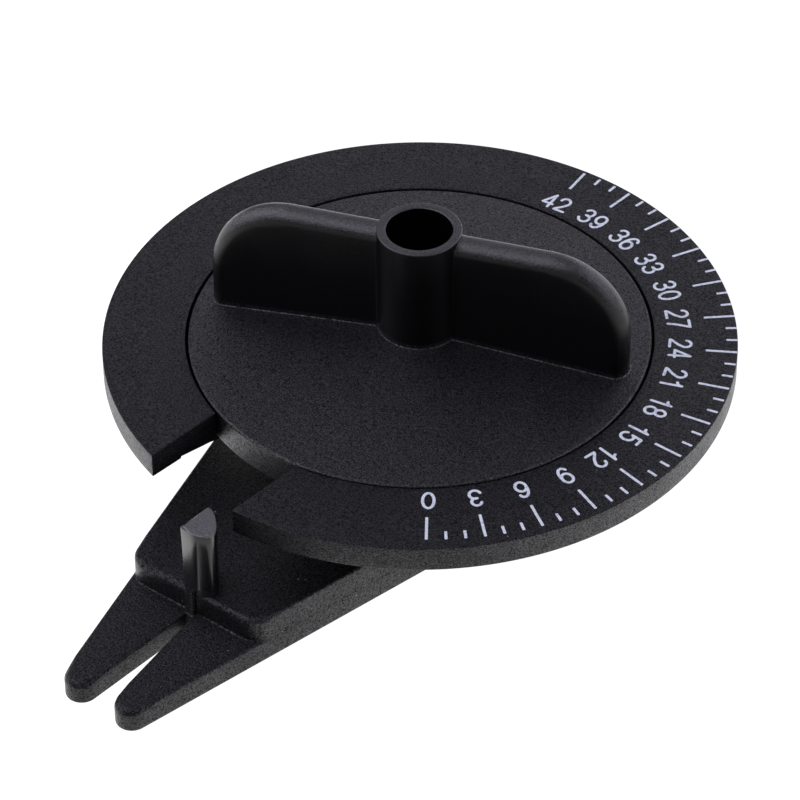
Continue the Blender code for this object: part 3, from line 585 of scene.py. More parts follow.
def knob_quarter(z, grow, n_cap, n_line, n_fil, n_arc):
    depth_max = min(WING_EDGE_R, max(0.0, WING_TOP - z))
    phi_max = math.acos(max(-1.0, 1 - depth_max / WING_EDGE_R)) if depth_max > 1e-9 else 0.0
    pts = []
    for j in range(n_cap + 1):
        phi = phi_max * j / n_cap
        depth = WING_EDGE_R * (1 - math.cos(phi))
        x = wing_station(z, min(depth, depth_max * 0.9999))
        y = wing_half(z) * math.sin(phi)
        out = math.cos(phi)
        side = math.sqrt(max(0.0, 1 - out * out))
        pts.append((x + grow * out, y + grow * side if phi_max > 0 else 0.0))
    b = pts[-1][1]
    blend = max(0.15, WING_BLEND - grow)
    r = TUBE_R + grow
    cx = math.sqrt((r + blend) ** 2 - (b + blend) ** 2)
    x0 = pts[-1][0]
    for j in range(1, n_line + 1):
        pts.append((x0 + (cx - x0) * j / n_line, b))
    theta = math.atan2(b + blend, cx)
    for j in range(1, n_fil + 1):
        a = -math.pi / 2 + (theta - math.pi / 2) * j / n_fil
        pts.append((cx + blend * math.cos(a), b + blend + blend * math.sin(a)))
    for j in range(1, n_arc + 1):
        a = theta + (math.pi / 2 - theta) * j / n_arc
        pts.append((r * math.cos(a), r * math.sin(a)))
    return pts


def full_section(q):
    return q + [(-x, y) for x, y in reversed(q)][1:] + [(-x, -y) for x, y in q][1:] + [(x, -y) for x, y in reversed(q)][1:-1]


def build_knob(n_cap, n_line, n_fil, n_arc, wall_levels, flare_levels, round_levels, deck_loops):
    counts = (n_cap, n_line, n_fil, n_arc)
    n = 4 * sum(counts)
    bm = bmesh.new()

    def ring_loop(r, z, angles):
        return [(r * math.cos(a), r * math.sin(a), z) for a in angles]

    levels = []
    for i in range(flare_levels + 1):
        t = math.pi / 2 * i / flare_levels
        levels.append((WING_FLARE * (1 - math.cos(t)), WING_FLARE * (1 - math.sin(t))))
    top_wall = WING_TOP - WING_EDGE_R
    for i in range(1, wall_levels + 1):
        levels.append((WING_FLARE + (top_wall - WING_FLARE) * i / wall_levels, 0.0))
    for i in range(1, round_levels + 1):
        t = math.pi / 2 * i / round_levels
        levels.append((top_wall + WING_EDGE_R * math.sin(t), 0.0))
    sections = []
    for z, grow in levels:
        row = []
        for x, y in turn(full_section(knob_quarter(z, grow, *counts)), WING_DIR):
            row.append((x, y, z + deck_z(math.hypot(x, y)) * max(0.0, 1 - z / 5.0)))
        sections.append(row)
    base = sections[0]
    base_angles = [math.atan2(p[1], p[0]) for p in base]
    even = [WING_DIR + math.tau * i / n for i in range(n)]

    rim_r = DECK_R - DECK_ROUND
    rim = [(rim_r + DECK_ROUND * math.sin(math.pi / 2 * i / 8), DECK_EDGE_Z - DECK_ROUND * (1 - math.cos(math.pi / 2 * i / 8))) for i in range(9)]
    loops = []
    for k in range(1, deck_loops + 1):
        t = k / (deck_loops + 1)
        row = []
        for i, p in enumerate(base):
            x = (1 - t) * p[0] + t * rim_r * math.cos(even[i])
            y = (1 - t) * p[1] + t * rim_r * math.sin(even[i])
            row.append((x, y, deck_z(math.hypot(x, y))))
        loops.append(row)
    loops.reverse()
    loops = [ring_loop(r, z, even) for r, z in reversed(rim)] + loops + sections[:-1]
    ridge = sections[-1]
    n_ridge = n_cap + n_line
    q = sum(counts)
    rows = [[bm.verts.new(p) for p in loop] for loop in loops]
    ridge_v = [bm.verts.new(p) for p in ridge]
    rows.append(ridge_v)
    for a, b in zip(rows, rows[1:]):
        for i in range(n):
            j = (i + 1) % n
            bm.faces.new((a[i], a[j], b[j], b[i]))

    def on_ridge(i):
        m = i % (2 * q)
        m = min(m, 2 * q - m)
        return m < n_ridge

    top_angles = [math.atan2(p[1], p[0]) for p in ridge]
    lip_out, lip_in = 0.16, 0.2
    lip = [(TUBE_R, WING_TOP)]
    lip += [(TUBE_R - lip_out * (1 - math.cos(t)), TUBE_TOP - lip_out * (1 - math.sin(t))) for t in [math.pi / 2 * i / 4 for i in range(1, 5)]]
    lip += [(TUBE_BORE_R + lip_in * (1 - math.sin(t)), TUBE_TOP - lip_in * (1 - math.cos(t))) for t in [math.pi / 2 * i / 4 for i in range(0, 5)]]
    lips = [[bm.verts.new(p) for p in ring_loop(r, z, top_angles)] for r, z in lip]
    for i in range(n):
        j = (i + 1) % n
        if not (on_ridge(i) or on_ridge(j)):
            bm.faces.new((ridge_v[i], ridge_v[j], lips[0][j], lips[0][i]))
    bore = [(TUBE_BORE_R, z) for z in (14.0, 11.0, 8.0, 5.0, 2.5)]
    bore += [(TUBE_BORE_R, WEB_Z1), (WEB_R, WEB_Z1), (WEB_R, WEB_Z0), (TUBE_BORE_R, WEB_Z0), (TUBE_BORE_R, -6.0), (TUBE_BORE_R, BOSS_Z + 0.15), (TUBE_BORE_R + 0.15, BOSS_Z)]
    chain = lips + [[bm.verts.new(p) for p in ring_loop(r, z, top_angles)] for r, z in bore]
    for a, b in zip(chain, chain[1:]):
        for i in range(n):
            j = (i + 1) % n
            bm.faces.new((a[i], a[j], b[j], b[i]))
    outside = [(BOSS_R - 0.25, BOSS_Z), (BOSS_R, BOSS_Z + 0.25), (BOSS_R, -6.0), (BOSS_R, -1.3), (BOSS_R + 0.6, -0.75), (12.0, -0.95), (18.0, -1.3), (23.0, -1.65),
               (SKIRT_R0 - 0.4, -2.0), (SKIRT_R0, -2.4), (SKIRT_R0, SKIRT_Z + 0.15), (SKIRT_R0 + 0.15, SKIRT_Z), (DECK_R - 0.2, SKIRT_Z), (DECK_R, SKIRT_Z + 0.2),
               (DECK_R, -2.8), (DECK_R, -1.6)]
    outer = [[bm.verts.new(p) for p in ring_loop(r, z, even)] for r, z in outside]
    chain = [chain[-1]] + outer + [rows[0]]
    for a, b in zip(chain, chain[1:]):
        for i in range(n):
            j = (i + 1) % n
            bm.faces.new((a[i], a[j], b[j], b[i]))
    return bm


knob = piece("knob_moulding", build_knob(9, 12, 6, 12, 16, 6, 9, 7), DECK)
bosses = bmesh.new()
for a in SCREW_ANGLES:
    turned([(0, SCREW_BOSS_Z), (SCREW_BOSS_R - 0.15, SCREW_BOSS_Z), (SCREW_BOSS_R, SCREW_BOSS_Z + 0.15), (SCREW_BOSS_R + 0.1, -0.6), (0, -0.6)], 32,
           SCREW_BOSS_PCR * math.cos(a), SCREW_BOSS_PCR * math.sin(a), bm=bosses)
turned([(0, SCREW_BOSS_Z), (2.0, SCREW_BOSS_Z), (2.1, SCREW_BOSS_Z + 0.1), (2.2, -0.3), (0, -0.3)], 32, COIL_R * math.cos(LEG_TOP_ANGLE), COIL_R * math.sin(LEG_TOP_ANGLE), bm=bosses)
carve(knob, bosses, "UNION")
holes = bmesh.new()
for a in SCREW_ANGLES:
    turned([(0, SCREW_BOSS_Z - 1), (1.2, SCREW_BOSS_Z - 1), (1.2, -2.3), (0, -2.3)], 24, SCREW_BOSS_PCR * math.cos(a), SCREW_BOSS_PCR * math.sin(a), bm=holes)
turned([(0, SCREW_BOSS_Z - 1), (1.1, SCREW_BOSS_Z - 1), (1.1, -2.7), (0, -2.7)], 24, COIL_R * math.cos(LEG_TOP_ANGLE), COIL_R * math.sin(LEG_TOP_ANGLE), bm=holes)
carve(knob, holes)
reshade(knob)
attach(knob, "knob")
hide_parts("knob_body")


# ---------------------------------------------------------------- base arm
ALPHA, BETA = math.atan(ARM_TAPER), math.atan(SLOT_TAPER)


def half_width(s):
    return ARM_W0 - ARM_TAPER * (s - ARM_S0)


def hub_arc(draw=0.0, n=96):
    r = half_width(0.0) * math.cos(ALPHA) - draw
    return arc(0, 0, r, -ALPHA, math.pi + ALPHA, n)


def arm_plan(draw=0.0):
    """Plan of the arm up to the step, with rounded corners."""
    s1 = STEP_S - draw
    r = STEP_CORNER_R
    w = half_width(s1) - draw / math.cos(ALPHA)
    back = r * math.tan((math.pi / 2 - ALPHA) / 2)
    right = arc(w - back, -(s1 - r), r, -math.pi / 2, -ALPHA, 14)
    return right + hub_arc(draw) + [(-x, y) for x, y in reversed(right)]


def fork_plan():
    tip = arc(TIP_W, -TIP_S, TIP_R, -math.pi + BETA, -ALPHA, 28)
    right = [(SLOT_W, -SLOT_S)] + tip
    return right + hub_arc() + [(-x, y) for x, y in reversed(right)]


def slab(plan, z0, z1, top, bottom, levels=5, middle=2):
    """A plate with rounded upper and lower edges; top and bottom are radii, one number or one for each point."""
    n = len(plan)
    tops = top if isinstance(top, list) else [top] * n
    bots = bottom if isinstance(bottom, list) else [bottom] * n
    loops = []
    for i in range(levels + 1):
        t = math.pi / 2 * i / levels
        shape = inset(plan, [r * (1 - math.sin(t)) for r in bots])
        loops.append([(x, y, z0 + r * (1 - math.cos(t))) for (x, y), r in zip(shape, bots)])
    for k in range(1, middle):
        loops.append([(x, y, z0 + rb + (z1 - rt - z0 - rb) * k / middle) for (x, y), rb, rt in zip(plan, bots, tops)])
    for i in range(levels + 1):
        t = math.pi / 2 * i / levels
        shape = inset(plan, [r * (1 - math.cos(t)) for r in tops])
        loops.append([(x, y, z1 - r * (1 - math.sin(t))) for (x, y), r in zip(shape, tops)])
    return loft(bmesh.new(), loops, cap_start=True, cap_end=True)


plan = refine(fork_plan(), 2.4)
tip_round = []
for x, y in plan:
    s = -y
    # the tips' front edge is rounded more than the long sides
    near_tip = min(1.0, max(0.0, (s - (TIP_S - 0.9)) / 1.9))
    tip_round.append(0.34 + 0.62 * near_tip * near_tip * (3 - 2 * near_tip))
arm = piece("arm_moulding", slab(plan, ARM_Z0, PRONG_Z, tip_round, 0.22, levels=6, middle=3), ARM)

# the thicker part, standing a hair inside the lower sides, flared at the step's foot
upper_plan = refine(arm_plan(0.012), 2.4)
edge = []
for x, y in upper_plan:
    near_step = min(1.0, max(0.0, (-y - (STEP_S - 4.2)) / 3.4))
    edge.append(0.36 + 0.34 * near_step)
loops = []
foot_r = 0.26
front = [min(1.0, max(0.0, (-y - (STEP_S - 1.6)) / 1.4)) for x, y in upper_plan]
loops.append([(x, y, ARM_Z0 + 1.0) for x, y in inset(upper_plan, 0.0)])
loops.append([(x, y, PRONG_Z - 0.6) for x, y in inset(upper_plan, 0.0)])
loops.append([(x, y, PRONG_Z - 0.05) for x, y in inset(upper_plan, [-(foot_r + 0.04) * f for f in front])])
for i in range(5):
    t = math.pi / 2 * i / 4
    loops.append([(x, y, PRONG_Z + foot_r * (1 - math.cos(t))) for x, y in inset(upper_plan, [-foot_r * (1 - math.sin(t)) * f for f in front])])
loops.append([(x, y, (PRONG_Z + ARM_Z1) / 2) for x, y in upper_plan])
for i in range(7):
    t = math.pi / 2 * i / 6
    shape = inset(upper_plan, [r * (1 - math.cos(t)) for r in edge])
    loops.append([(x, y, ARM_Z1 - r * (1 - math.sin(t))) for (x, y), r in zip(shape, edge)])
carve(arm, loft(bmesh.new(), loops, cap_start=True, cap_end=True), "UNION")


# pointer post: flat side to the left, rounded nose to the fork, round right side
def smooth(points, rounds, n=5):
    """Rounds the corners of an outline: rounds gives a cut-back distance for each point, 0 keeps it sharp."""
    out = []
    k = len(points)
    for i, ((x, y), d) in enumerate(zip(points, rounds)):
        if d <= 0:
            out.append((x, y))
            continue
        x0, y0 = points[i - 1]
        x2, y2 = points[(i + 1) % k]
        l0, l2 = math.hypot(x0 - x, y0 - y), math.hypot(x2 - x, y2 - y)
        d0, d2 = min(d, l0 * 0.48), min(d, l2 * 0.48)
        ax, ay = x + (x0 - x) / l0 * d0, y + (y0 - y) / l0 * d0
        bx, by = x + (x2 - x) / l2 * d2, y + (y2 - y) / l2 * d2
        for j in range(n + 1):
            t = j / n
            out.append(((1 - t) ** 2 * ax + 2 * t * (1 - t) * x + t * t * bx, (1 - t) ** 2 * ay + 2 * t * (1 - t) * y + t * t * by))
    return out


def post_plan(z):
    """Plan at a height; the nose draws back towards the foot."""
    t = (z - ARM_Z1) / (POST_TOP - ARM_Z1)
    nose = 0.84 + 0.16 * t
    pts = [(-0.92, -40.85), (-1.20, -43.2), (-0.72 - 0.80 * nose, -45.25 - 0.29 * nose), (0.88, -45.92), (1.72, -45.62),
           (2.72, -45.18), (2.94, -44.62), (2.80, -44.10), (2.14, -43.0), (1.04, -41.88), (0.12, -41.18)]
    rounds = [0.25, 0, 0.16, 0.75, 0.35, 0.5, 0.4, 0.4, 0.6, 0.6, 0.5]
    return smooth(pts, rounds)


loops = []
for z in (PRONG_Z - 0.6, ARM_Z1 - 0.5, ARM_Z1 + 0.6, -7.5, -5.0, -2.6):
    loops.append([(x, y, z) for x, y in post_plan(z)])
top_plan = post_plan(POST_TOP)
cut_back = []
for x, y in top_plan:
    # the top's edge is cut back along the flat side, more towards the nose
    along = min(1.0, max(0.0, (-y - 41.0) / 4.4))
    left = 1.0 if x < -0.80 else 0.0
    cut_back.append(0.07 + left * (0.05 + 0.22 * along))
for drop, share in ((1.0, 0.0), (0.55, 0.18), (0.2, 0.62), (0.0, 1.0)):
    shape = inset(top_plan, [c * share for c in cut_back])
    loops.append([(x, y, POST_TOP - c * 1.1 * drop) for (x, y), c in zip(shape, cut_back)])
carve(arm, loft(bmesh.new(), loops, cap_start=True, cap_end=True), "UNION")

keel = [(-0.95, -45.0), (0.72, -45.0), (0.72, -46.0), (0.40, -46.3), (-0.60, -46.3), (-0.95, -46.0)]
keel = smooth(list(reversed(keel)), [0.12, 0.12, 0.12, 0.12, 0, 0], 3)
carve(arm, prism(keel, PRONG_Z - 0.7, ARM_Z1 + 0.55), "UNION")

cup = turned([(0, CUP_Z), (CUP_R - 0.6, CUP_Z), (CUP_R - 0.18, CUP_Z + 0.18), (CUP_R, CUP_Z + 0.6), (CUP_R, -20.5), (CUP_R, ARM_Z0 + 2.0), (0, ARM_Z0 + 2.0)], 128)
carve(arm, cup, "UNION")
bore = turned([(0, 0.0), (CUP_BORE_R, 0.0), (CUP_BORE_R, CUP_FLOOR), (CORE_R, CUP_FLOOR), (CORE_R, CORE_TOP), (CORE_BORE_R, CORE_TOP),
               (CORE_BORE_R, HEAD_POCKET_Z), (HEAD_POCKET_R, HEAD_POCKET_Z), (HEAD_POCKET_R, CUP_Z - 1.0), (0, CUP_Z - 1.0)], 96)
carve(arm, bore)
small = bmesh.new()
for y in (-FOOT_SCREW_Y, FOOT_SCREW_Y):
    turned([(0, CUP_Z - 1), (1.4, CUP_Z - 1), (1.4, -21.7), (0, -21.7)], 24, 0, y, bm=small)
leg = LEG_TOP_ANGLE - math.tau * COIL_TURNS
turned([(0, -22.8), (1.1, -22.8), (1.1, CUP_FLOOR + 1), (0, CUP_FLOOR + 1)], 24, COIL_R * math.cos(leg), COIL_R * math.sin(leg), bm=small)
swing = TAB_HALF / TAB_R + STOP_PIN_R / STOP_R + 0.35 / STOP_R
for a in (TAB_ANGLE + swing, TAB_ANGLE - TURN - swing):
    turned([(0, STOP_BOTTOM - 0.3), (1.3, STOP_BOTTOM - 0.3), (1.3, ARM_Z1 + 1), (0, ARM_Z1 + 1)], 24, STOP_R * math.cos(a), STOP_R * math.sin(a), bm=small)
carve(arm, small)
cells = bmesh.new()
for s0, s1 in ((23.6, 31.6), (33.0, 42.6)):
    for lane in (-1, 0, 1):
        w0, w1 = half_width(s0) - 2.2, half_width(s1) - 2.2
        quad = [(-3.4, -s1), (3.4, -s1), (3.4, -s0), (-3.4, -s0)] if lane == 0 else [(4.8, -s1), (w1, -s1), (w0, -s0), (4.8, -s0)]
        if lane < 0:
            quad = [(-x, y) for x, y in reversed(quad)]
        prism(smooth(quad, [0.7] * 4, 4), ARM_Z0 - 1, ARM_Z1 - 2.3, bm=cells)
carve(arm, cells)
# witness rings of the ejector pins
marks = bmesh.new()
for s, w in ((42.40, -6.45), (42.65, 7.40)):
    turned([(2.02, ARM_Z1 + 0.5), (2.02, ARM_Z1 - 0.05), (2.16, ARM_Z1 - 0.05), (2.16, ARM_Z1 + 0.5)], 64, w, -s, bm=marks)
carve(arm, marks)
reshade(arm, 30.0)
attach(arm, "base")
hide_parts("base_arm")


# ---------------------------------------------------------------- printed scale
SCALE_X, SCALE_Y = 1.41, 0.22           # the print's centre, off the dial's, in the dial's own directions below
SCALE_TURN = math.radians(37.70)
MAJOR_OUT, MAJOR_IN, MINOR_IN = 38.55, 34.60, 37.14
TICK_W = 0.36
DIGIT_H, DIGIT_W, STROKE, DIGIT_GAP = 3.07, 1.77, 0.38, 0.24


def scale_angle(k):
    return math.radians(-91.80 + 3.5500 * k + 0.271 * (k - 21) ** 2 / 400.0)


def to_dial(x, y):
    x, y = x + SCALE_X, y + SCALE_Y
    y -= 1.165 * RING_RISE * (RING_R - math.hypot(x, y)) / (RING_R - RING_BORE_R)
    c, s = math.cos(SCALE_TURN), math.sin(SCALE_TURN)
    return x * c - y * s, x * s + y * c


def on_face(x, y):
    """Height of the dial's face, which rises a little towards the bore."""
    return RING_RISE * (RING_R - math.hypot(x, y)) / (RING_R - RING_BORE_R)


PRINT_Z0, PRINT_Z1 = -0.02, 0.018


def raised(bm, outer, holes, z0, z1):
    """A thin raised shape from one outline and its holes."""
    loops = [outer] + holes
    tops, bottoms = [], []
    for loop in loops:
        tops.append([bm.verts.new((x, y, on_face(x, y) + z1)) for x, y in loop])
        bottoms.append([bm.verts.new((x, y, on_face(x, y) + z0)) for x, y in loop])
    flat_t = [v for row in tops for v in row]
    flat_b = [v for row in bottoms for v in row]
    for tri in tessellate_polygon([[Vector((x, y, 0)) for x, y in loop] for loop in loops]):
        a, b, c = tri
        if a == b or b == c or a == c:
            continue
        bm.faces.new((flat_t[a], flat_t[b], flat_t[c]))
        bm.faces.new((flat_b[c], flat_b[b], flat_b[a]))
    for t, b in zip(tops, bottoms):
        n = len(t)
        for i in range(n):
            j = (i + 1) % n
            bm.faces.new((t[i], t[j], b[j], b[i]))


ticks = bmesh.new()
for k in range(43):
    a = scale_angle(k)
    r0 = MAJOR_IN if k % 3 == 0 else MINOR_IN
    c, s = math.cos(a), math.sin(a)
    h = TICK_W / 2
    e = 0.06
    outline = [(r0, -h + e), (r0 + e, -h), (MAJOR_OUT - e, -h), (MAJOR_OUT, -h + e), (MAJOR_OUT, h - e), (MAJOR_OUT - e, h), (r0 + e, h), (r0, h - e)]
    raised(ticks, [to_dial(x * c - y * s, x * s + y * c) for x, y in outline], [], PRINT_Z0, PRINT_Z1)


# digits as strokes on a unit box (0..1 wide, 0..1 high), outlined from the distance to the strokes
def ellipse(cx, cy, rx, ry, a0, a1, n=28):
    return [(cx + rx * math.cos(math.radians(a0 + (a1 - a0) * i / n)), cy + ry * math.sin(math.radians(a0 + (a1 - a0) * i / n))) for i in range(n + 1)]


def digit_strokes(d):
    if d == "0":
        return [ellipse(0.5, 0.5, 0.5, 0.5, 0, 360, 56)]
    if d == "1":
        return [[(0.66, 0.0), (0.66, 1.0)], [(0.66, 0.97), (0.56, 0.83), (0.40, 0.77), (0.24, 0.75)]]
    if d == "2":
        return [ellipse(0.5, 0.735, 0.46, 0.265, 172, -22) + [(0.82, 0.54), (0.62, 0.37), (0.30, 0.20), (0.08, 0.08), (0.02, 0.0), (1.0, 0.0)]]
    if d == "3":
        return [ellipse(0.47, 0.755, 0.43, 0.245, 165, -90, 30), ellipse(0.47, 0.27, 0.50, 0.27, 90, -162, 34), [(0.36, 0.52), (0.50, 0.52)]]
    if d == "4":
        return [[(0.76, 0.0), (0.76, 1.0), (0.0, 0.27), (1.0, 0.27)]]
    if d == "5":
        return [[(0.92, 1.0), (0.20, 1.0), (0.10, 0.50), (0.24, 0.60)] + ellipse(0.47, 0.325, 0.50, 0.325, 112, -158, 36)]
    if d == "6":
        return [ellipse(0.5, 0.31, 0.48, 0.31, 0, 360, 44), ellipse(0.56, 0.45, 0.55, 0.55, 178, 96, 20) + ellipse(0.56, 0.76, 0.36, 0.24, 88, 20, 10)]
    if d == "7":
        return [[(0.02, 1.0), (0.98, 1.0), (0.70, 0.62), (0.48, 0.28), (0.36, 0.0)]]
    if d == "8":
        return [ellipse(0.5, 0.755, 0.41, 0.245, 0, 360, 44), ellipse(0.5, 0.26, 0.49, 0.265, 0, 360, 44)]
    if d == "9":
        return [[(1 - x, 1 - y) for x, y in row] for row in digit_strokes("6")]
    return []


def glyph_outlines(d):
    """Closed outlines, in millimetres about the digit's middle, of the strokes drawn with the pen width."""
    h = STROKE / 2
    w, t = DIGIT_W - STROKE, DIGIT_H - STROKE
    segs = []
    for row in digit_strokes(d):
        pts = [((x - 0.5) * w, (y - 0.5) * t) for x, y in row]
        segs += list(zip(pts, pts[1:]))
    step = 0.05
    nx, ny = int((DIGIT_W + 0.4) / step) + 1, int((DIGIT_H + 0.4) / step) + 1
    x0, y0 = -(DIGIT_W + 0.4) / 2, -(DIGIT_H + 0.4) / 2

    def dist(px, py):
        best = 1e9
        for (ax, ay), (bx, by) in segs:
            dx, dy = bx - ax, by - ay
            l2 = dx * dx + dy * dy
            u = 0.0 if l2 < 1e-12 else max(0.0, min(1.0, ((px - ax) * dx + (py - ay) * dy) / l2))
            q = (ax + u * dx - px) ** 2 + (ay + u * dy - py) ** 2
            best = min(best, q)
        return math.sqrt(best) - h

    grid = [[dist(x0 + i * step, y0 + j * step) for i in range(nx)] for j in range(ny)]
    edges = {}

    def cross(i0, j0, i1, j1):
        a, b = grid[j0][i0], grid[j1][i1]
        u = a / (a - b)
        return (x0 + (i0 + (i1 - i0) * u) * step, y0 + (j0 + (j1 - j0) * u) * step)

    nxt = {}
    place = {}
    for j in range(ny - 1):
        for i in range(nx - 1):
            corners = [(i, j), (i + 1, j), (i + 1, j + 1), (i, j + 1)]
            inside = [grid[b][a] < 0 for a, b in corners]
            if all(inside) or not any(inside):
                continue
            ins, outs = [], []
            for k in range(4):
                p, q = corners[k], corners[(k + 1) % 4]
                if inside[k] != inside[(k + 1) % 4]:
                    key = (min(p, q), max(p, q))
                    place[key] = cross(*p, *q)
                    (outs if inside[k] else ins).append((k, key))
            if len(ins) == 1:
                nxt[outs[0][1]] = ins[0][1]
            else:
                # two crossings: join each exit with the entry that follows it round the cell
                for k, key in outs:
                    later = sorted(ins, key=lambda e: (e[0] - k) % 4)
                    nxt[key] = later[0][1]
    loops = []
    left = set(nxt)
    while left:
        start = next(iter(sorted(left)))
        loop, key = [], start
        while key in left:
            left.discard(key)
            loop.append(place[key])
            key = nxt[key]
        # points closer together than a third of a cell are dropped
        kept = [loop[0]]
        for p in loop[1:]:
            if math.hypot(p[0] - kept[-1][0], p[1] - kept[-1][1]) > step * 0.45:
                kept.append(p)
        if math.hypot(kept[0][0] - kept[-1][0], kept[0][1] - kept[-1][1]) < step * 0.45:
            kept.pop()
        loops.append(kept)

    def area(loop):
        return sum(p[0] * q[1] - q[0] * p[1] for p, q in zip(loop, loop[1:] + loop[:1])) / 2

    loops.sort(key=lambda loop: -abs(area(loop)))
    return loops


shapes = {d: glyph_outlines(d) for d in "0123456789"}
DIGIT_R = {0: 31.62, 42: 31.2}
numbers = bmesh.new()
for k in range(0, 43, 3):
    text = str(k)
    a = scale_angle(k) + (math.radians(0.25) if k == 0 else 0.0)
    r = 31.62 - 0.42 * min(1.0, max(0.0, (k - 15) / 15.0))
    wide = len(text) * DIGIT_W + (len(text) - 1) * DIGIT_GAP
    for i, d in enumerate(text):
        off = -wide / 2 + DIGIT_W / 2 + i * (DIGIT_W + DIGIT_GAP)
        c, s = math.cos(a), math.sin(a)

        def put(p, off=off, c=c, s=s, r=r):
            # tops point outwards and the number reads clockwise
            u, v = p[0] + off, p[1]
            x, y = r + v, -u
            return to_dial(x * c - y * s, x * s + y * c)

        outer, *inner = shapes[d]
        raised(numbers, [put(p) for p in outer], [[put(p) for p in hole] for hole in inner], PRINT_Z0, PRINT_Z1)

for name, bm in (("scale_ticks", ticks), ("scale_numbers", numbers)):
    ob = piece(name, bm, INK, 40.0)
    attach(ob, "ring")


# ---------------------------------------------------------------- materials of the carried-over nodes
LOOKS = {
    "pivot_spindle": PLATED, "retaining_washer": PLATED, "retaining_screw": PLATED, "ring_retainer": PLATED,
    "retainer_screw_1": PLATED, "retainer_screw_2": PLATED, "retainer_screw_3": PLATED,
    "stop_pin_zero": PLATED, "stop_pin_full": PLATED, "foot_screw_front": PLATED, "foot_screw_rear": PLATED,
    "string_post_left": PLATED, "string_post_right": PLATED,
    "torsion_spring": SPRING, "pivot_bush": ACETAL, "thrust_washer": ACETAL, "drag_ring": RUBBER, "string_foot": FOOT,
}
for name, mat in LOOKS.items():
    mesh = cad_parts[name].data
    if not mesh.materials:
        mesh.materials.append(mat)
    for i in range(len(mesh.materials)):
        mesh.materials[i] = mat


# ---------------------------------------------------------------- studio
lowest = box_cad[0].z

floor_mesh = bpy.data.meshes.new("studio_floor")
bm = bmesh.new()
rows = []
for r in (0.03, 0.35, 1.2, 5.0):
    rows.append([bm.verts.new((r * math.cos(math.tau * i / 96), r * math.sin(math.tau * i / 96), lowest - 0.0002)) for i in range(96)])
for a, b in zip(rows, rows[1:]):
    for i in range(96):
        j = (i + 1) % 96
        bm.faces.new((a[i], a[j], b[j], b[i]))
bm.faces.new(rows[0])
bmesh.ops.recalc_face_normals(bm, faces=bm.faces)
for f in bm.faces:
    if f.calc_center_median().length < 0.02 and f.normal.z < 0:
        bmesh.ops.reverse_faces(bm, faces=bm.faces)
        break
bm.to_mesh(floor_mesh)
bm.free()
floor_mesh.shade_smooth()
floor = bpy.data.objects.new("studio_floor", floor_mesh)
bpy.context.scene.collection.objects.link(floor)

VIEW_TURN = math.radians(37.70)      # the camera's sideways direction, turned from +X

m = bpy.data.materials.new("studio_white")
m.use_nodes = True
nt = m.node_tree
nt.nodes.clear()
net = Net(nt)
out = nt.nodes.new("ShaderNodeOutputMaterial")
emit = nt.nodes.new("ShaderNodeEmission")
emit.inputs["Color"].default_value = (0.985, 0.98, 1.0, 1.0)
geo = nt.nodes.new("ShaderNodeNewGeometry")


def glow(side, away, reach, level, start=0.0):
    """Extra light on the table round a place given in metres to the camera's right and away from it."""
    near = nt.nodes.new("ShaderNodeVectorMath")
    near.operation = "DISTANCE"
    c, s = math.cos(VIEW_TURN), math.sin(VIEW_TURN)
    near.inputs[1].default_value = (c * side - s * away, s * side + c * away, lowest - 0.0002)
    nt.links.new(geo.outputs["Position"], near.inputs[0])
    return net.ramp(near.outputs["Value"], start, reach, level, 0.0)


light_out = net.math("ADD", glow(0.0, 0.03, 0.20, 0.60, 0.09), 0.46)
for spot in ((-0.100, 0.000, 0.080, 1.3), (-0.085, 0.085, 0.075, 0.8), (0.100, 0.000, 0.075, 0.8), (0.070, -0.072, 0.075, 1.1),
             (0.010, 0.210, 0.120, 1.4), (0.150, 0.140, 0.120, 1.3), (-0.140, 0.170, 0.110, 0.8)):
    light_out = net.math("ADD", light_out, glow(*spot))
nt.links.new(light_out, emit.inputs["Strength"])
clear = nt.nodes.new("ShaderNodeBsdfTransparent")
mix = nt.nodes.new("ShaderNodeMixShader")
nt.links.new(geo.outputs["Backfacing"], mix.inputs["Fac"])
nt.links.new(emit.outputs[0], mix.inputs[1])
nt.links.new(clear.outputs[0], mix.inputs[2])
nt.links.new(mix.outputs[0], out.inputs["Surface"])
floor_mesh.materials.append(m)


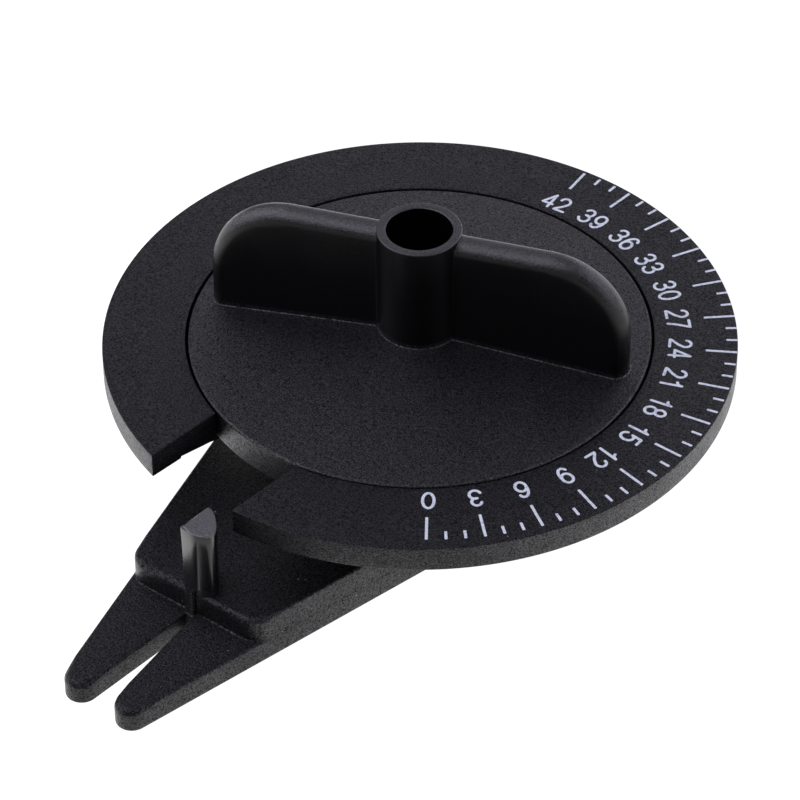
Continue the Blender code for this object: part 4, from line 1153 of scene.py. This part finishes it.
# A light tent: soft panels as (direction from the camera's right, elevation, reach, level); the camera's side stays dark.
PANELS = (
    (0, 5, 24, 0.6), (45, 5, 24, 2.1), (90, 5, 24, 0.55), (180, 5, 24, 1.2), (315, 5, 24, 0.5),
    (0, 21, 24, 0.95), (30, 21, 24, 0.65), (60, 21, 24, 1.6), (90, 21, 24, 0.30), (150, 21, 24, 2.0), (180, 21, 24, 0.8), (330, 21, 24, 0.8),
    (0, 40, 24, 1.05), (30, 40, 24, 0.2), (90, 40, 24, 0.34), (120, 40, 24, 0.66), (150, 40, 24, 0.4), (180, 40, 24, 1.1), (210, 40, 24, 1.9), (238, 42, 22, 1.0), (330, 40, 24, 0.7),
    (0, 60, 26, 0.8), (120, 60, 26, 0.80), (180, 60, 26, 0.7), (240, 60, 26, 1.2), (180, 80, 26, 0.79),
)
world = bpy.data.worlds.new("studio")
bpy.context.scene.world = world
world.use_nodes = True
nt = world.node_tree
net = Net(nt)
unit = nt.nodes.new("ShaderNodeVectorMath")
unit.operation = "NORMALIZE"
nt.links.new(net.coord.node.outputs["Generated"], unit.inputs[0])
sky = 0.015
for side, elevation, reach, level in PANELS:
    a, e = math.radians(side) + VIEW_TURN, math.radians(elevation)
    dot = nt.nodes.new("ShaderNodeVectorMath")
    dot.operation = "DOT_PRODUCT"
    nt.links.new(unit.outputs["Vector"], dot.inputs[0])
    dot.inputs[1].default_value = (math.cos(a) * math.cos(e), math.sin(a) * math.cos(e), math.sin(e))
    off = net.math("ARCCOSINE", dot.outputs["Value"])
    sky = net.math("ADD", net.ramp(off, math.radians(1.5), math.radians(reach), level, 0.0), sky)
back = nt.nodes["Background"]
back.inputs["Color"].default_value = (0.95, 0.93, 1.09, 1.0)
nt.links.new(sky, back.inputs["Strength"])

# ---------------------------------------------------------------- camera
cam = bpy.data.cameras.new("camera")
cam.lens, cam.sensor_width, cam.sensor_fit = 189.0, 36.0, "HORIZONTAL"
cam.clip_start, cam.clip_end = 0.01, 20.0
camera = bpy.data.objects.new("camera", cam)
camera.matrix_world = Matrix((
    (0.7948041, -0.3910489, 0.4640768, 0.2467998),
    (0.6068271, 0.5207941, -0.6004452, -0.3235294),
    (-0.0068850, 0.7588507, 0.6512283, 0.3672319),
    (0, 0, 0, 1)))
bpy.context.scene.collection.objects.link(camera)
bpy.context.scene.camera = camera
bpy.context.scene.view_settings.view_transform = "Standard"
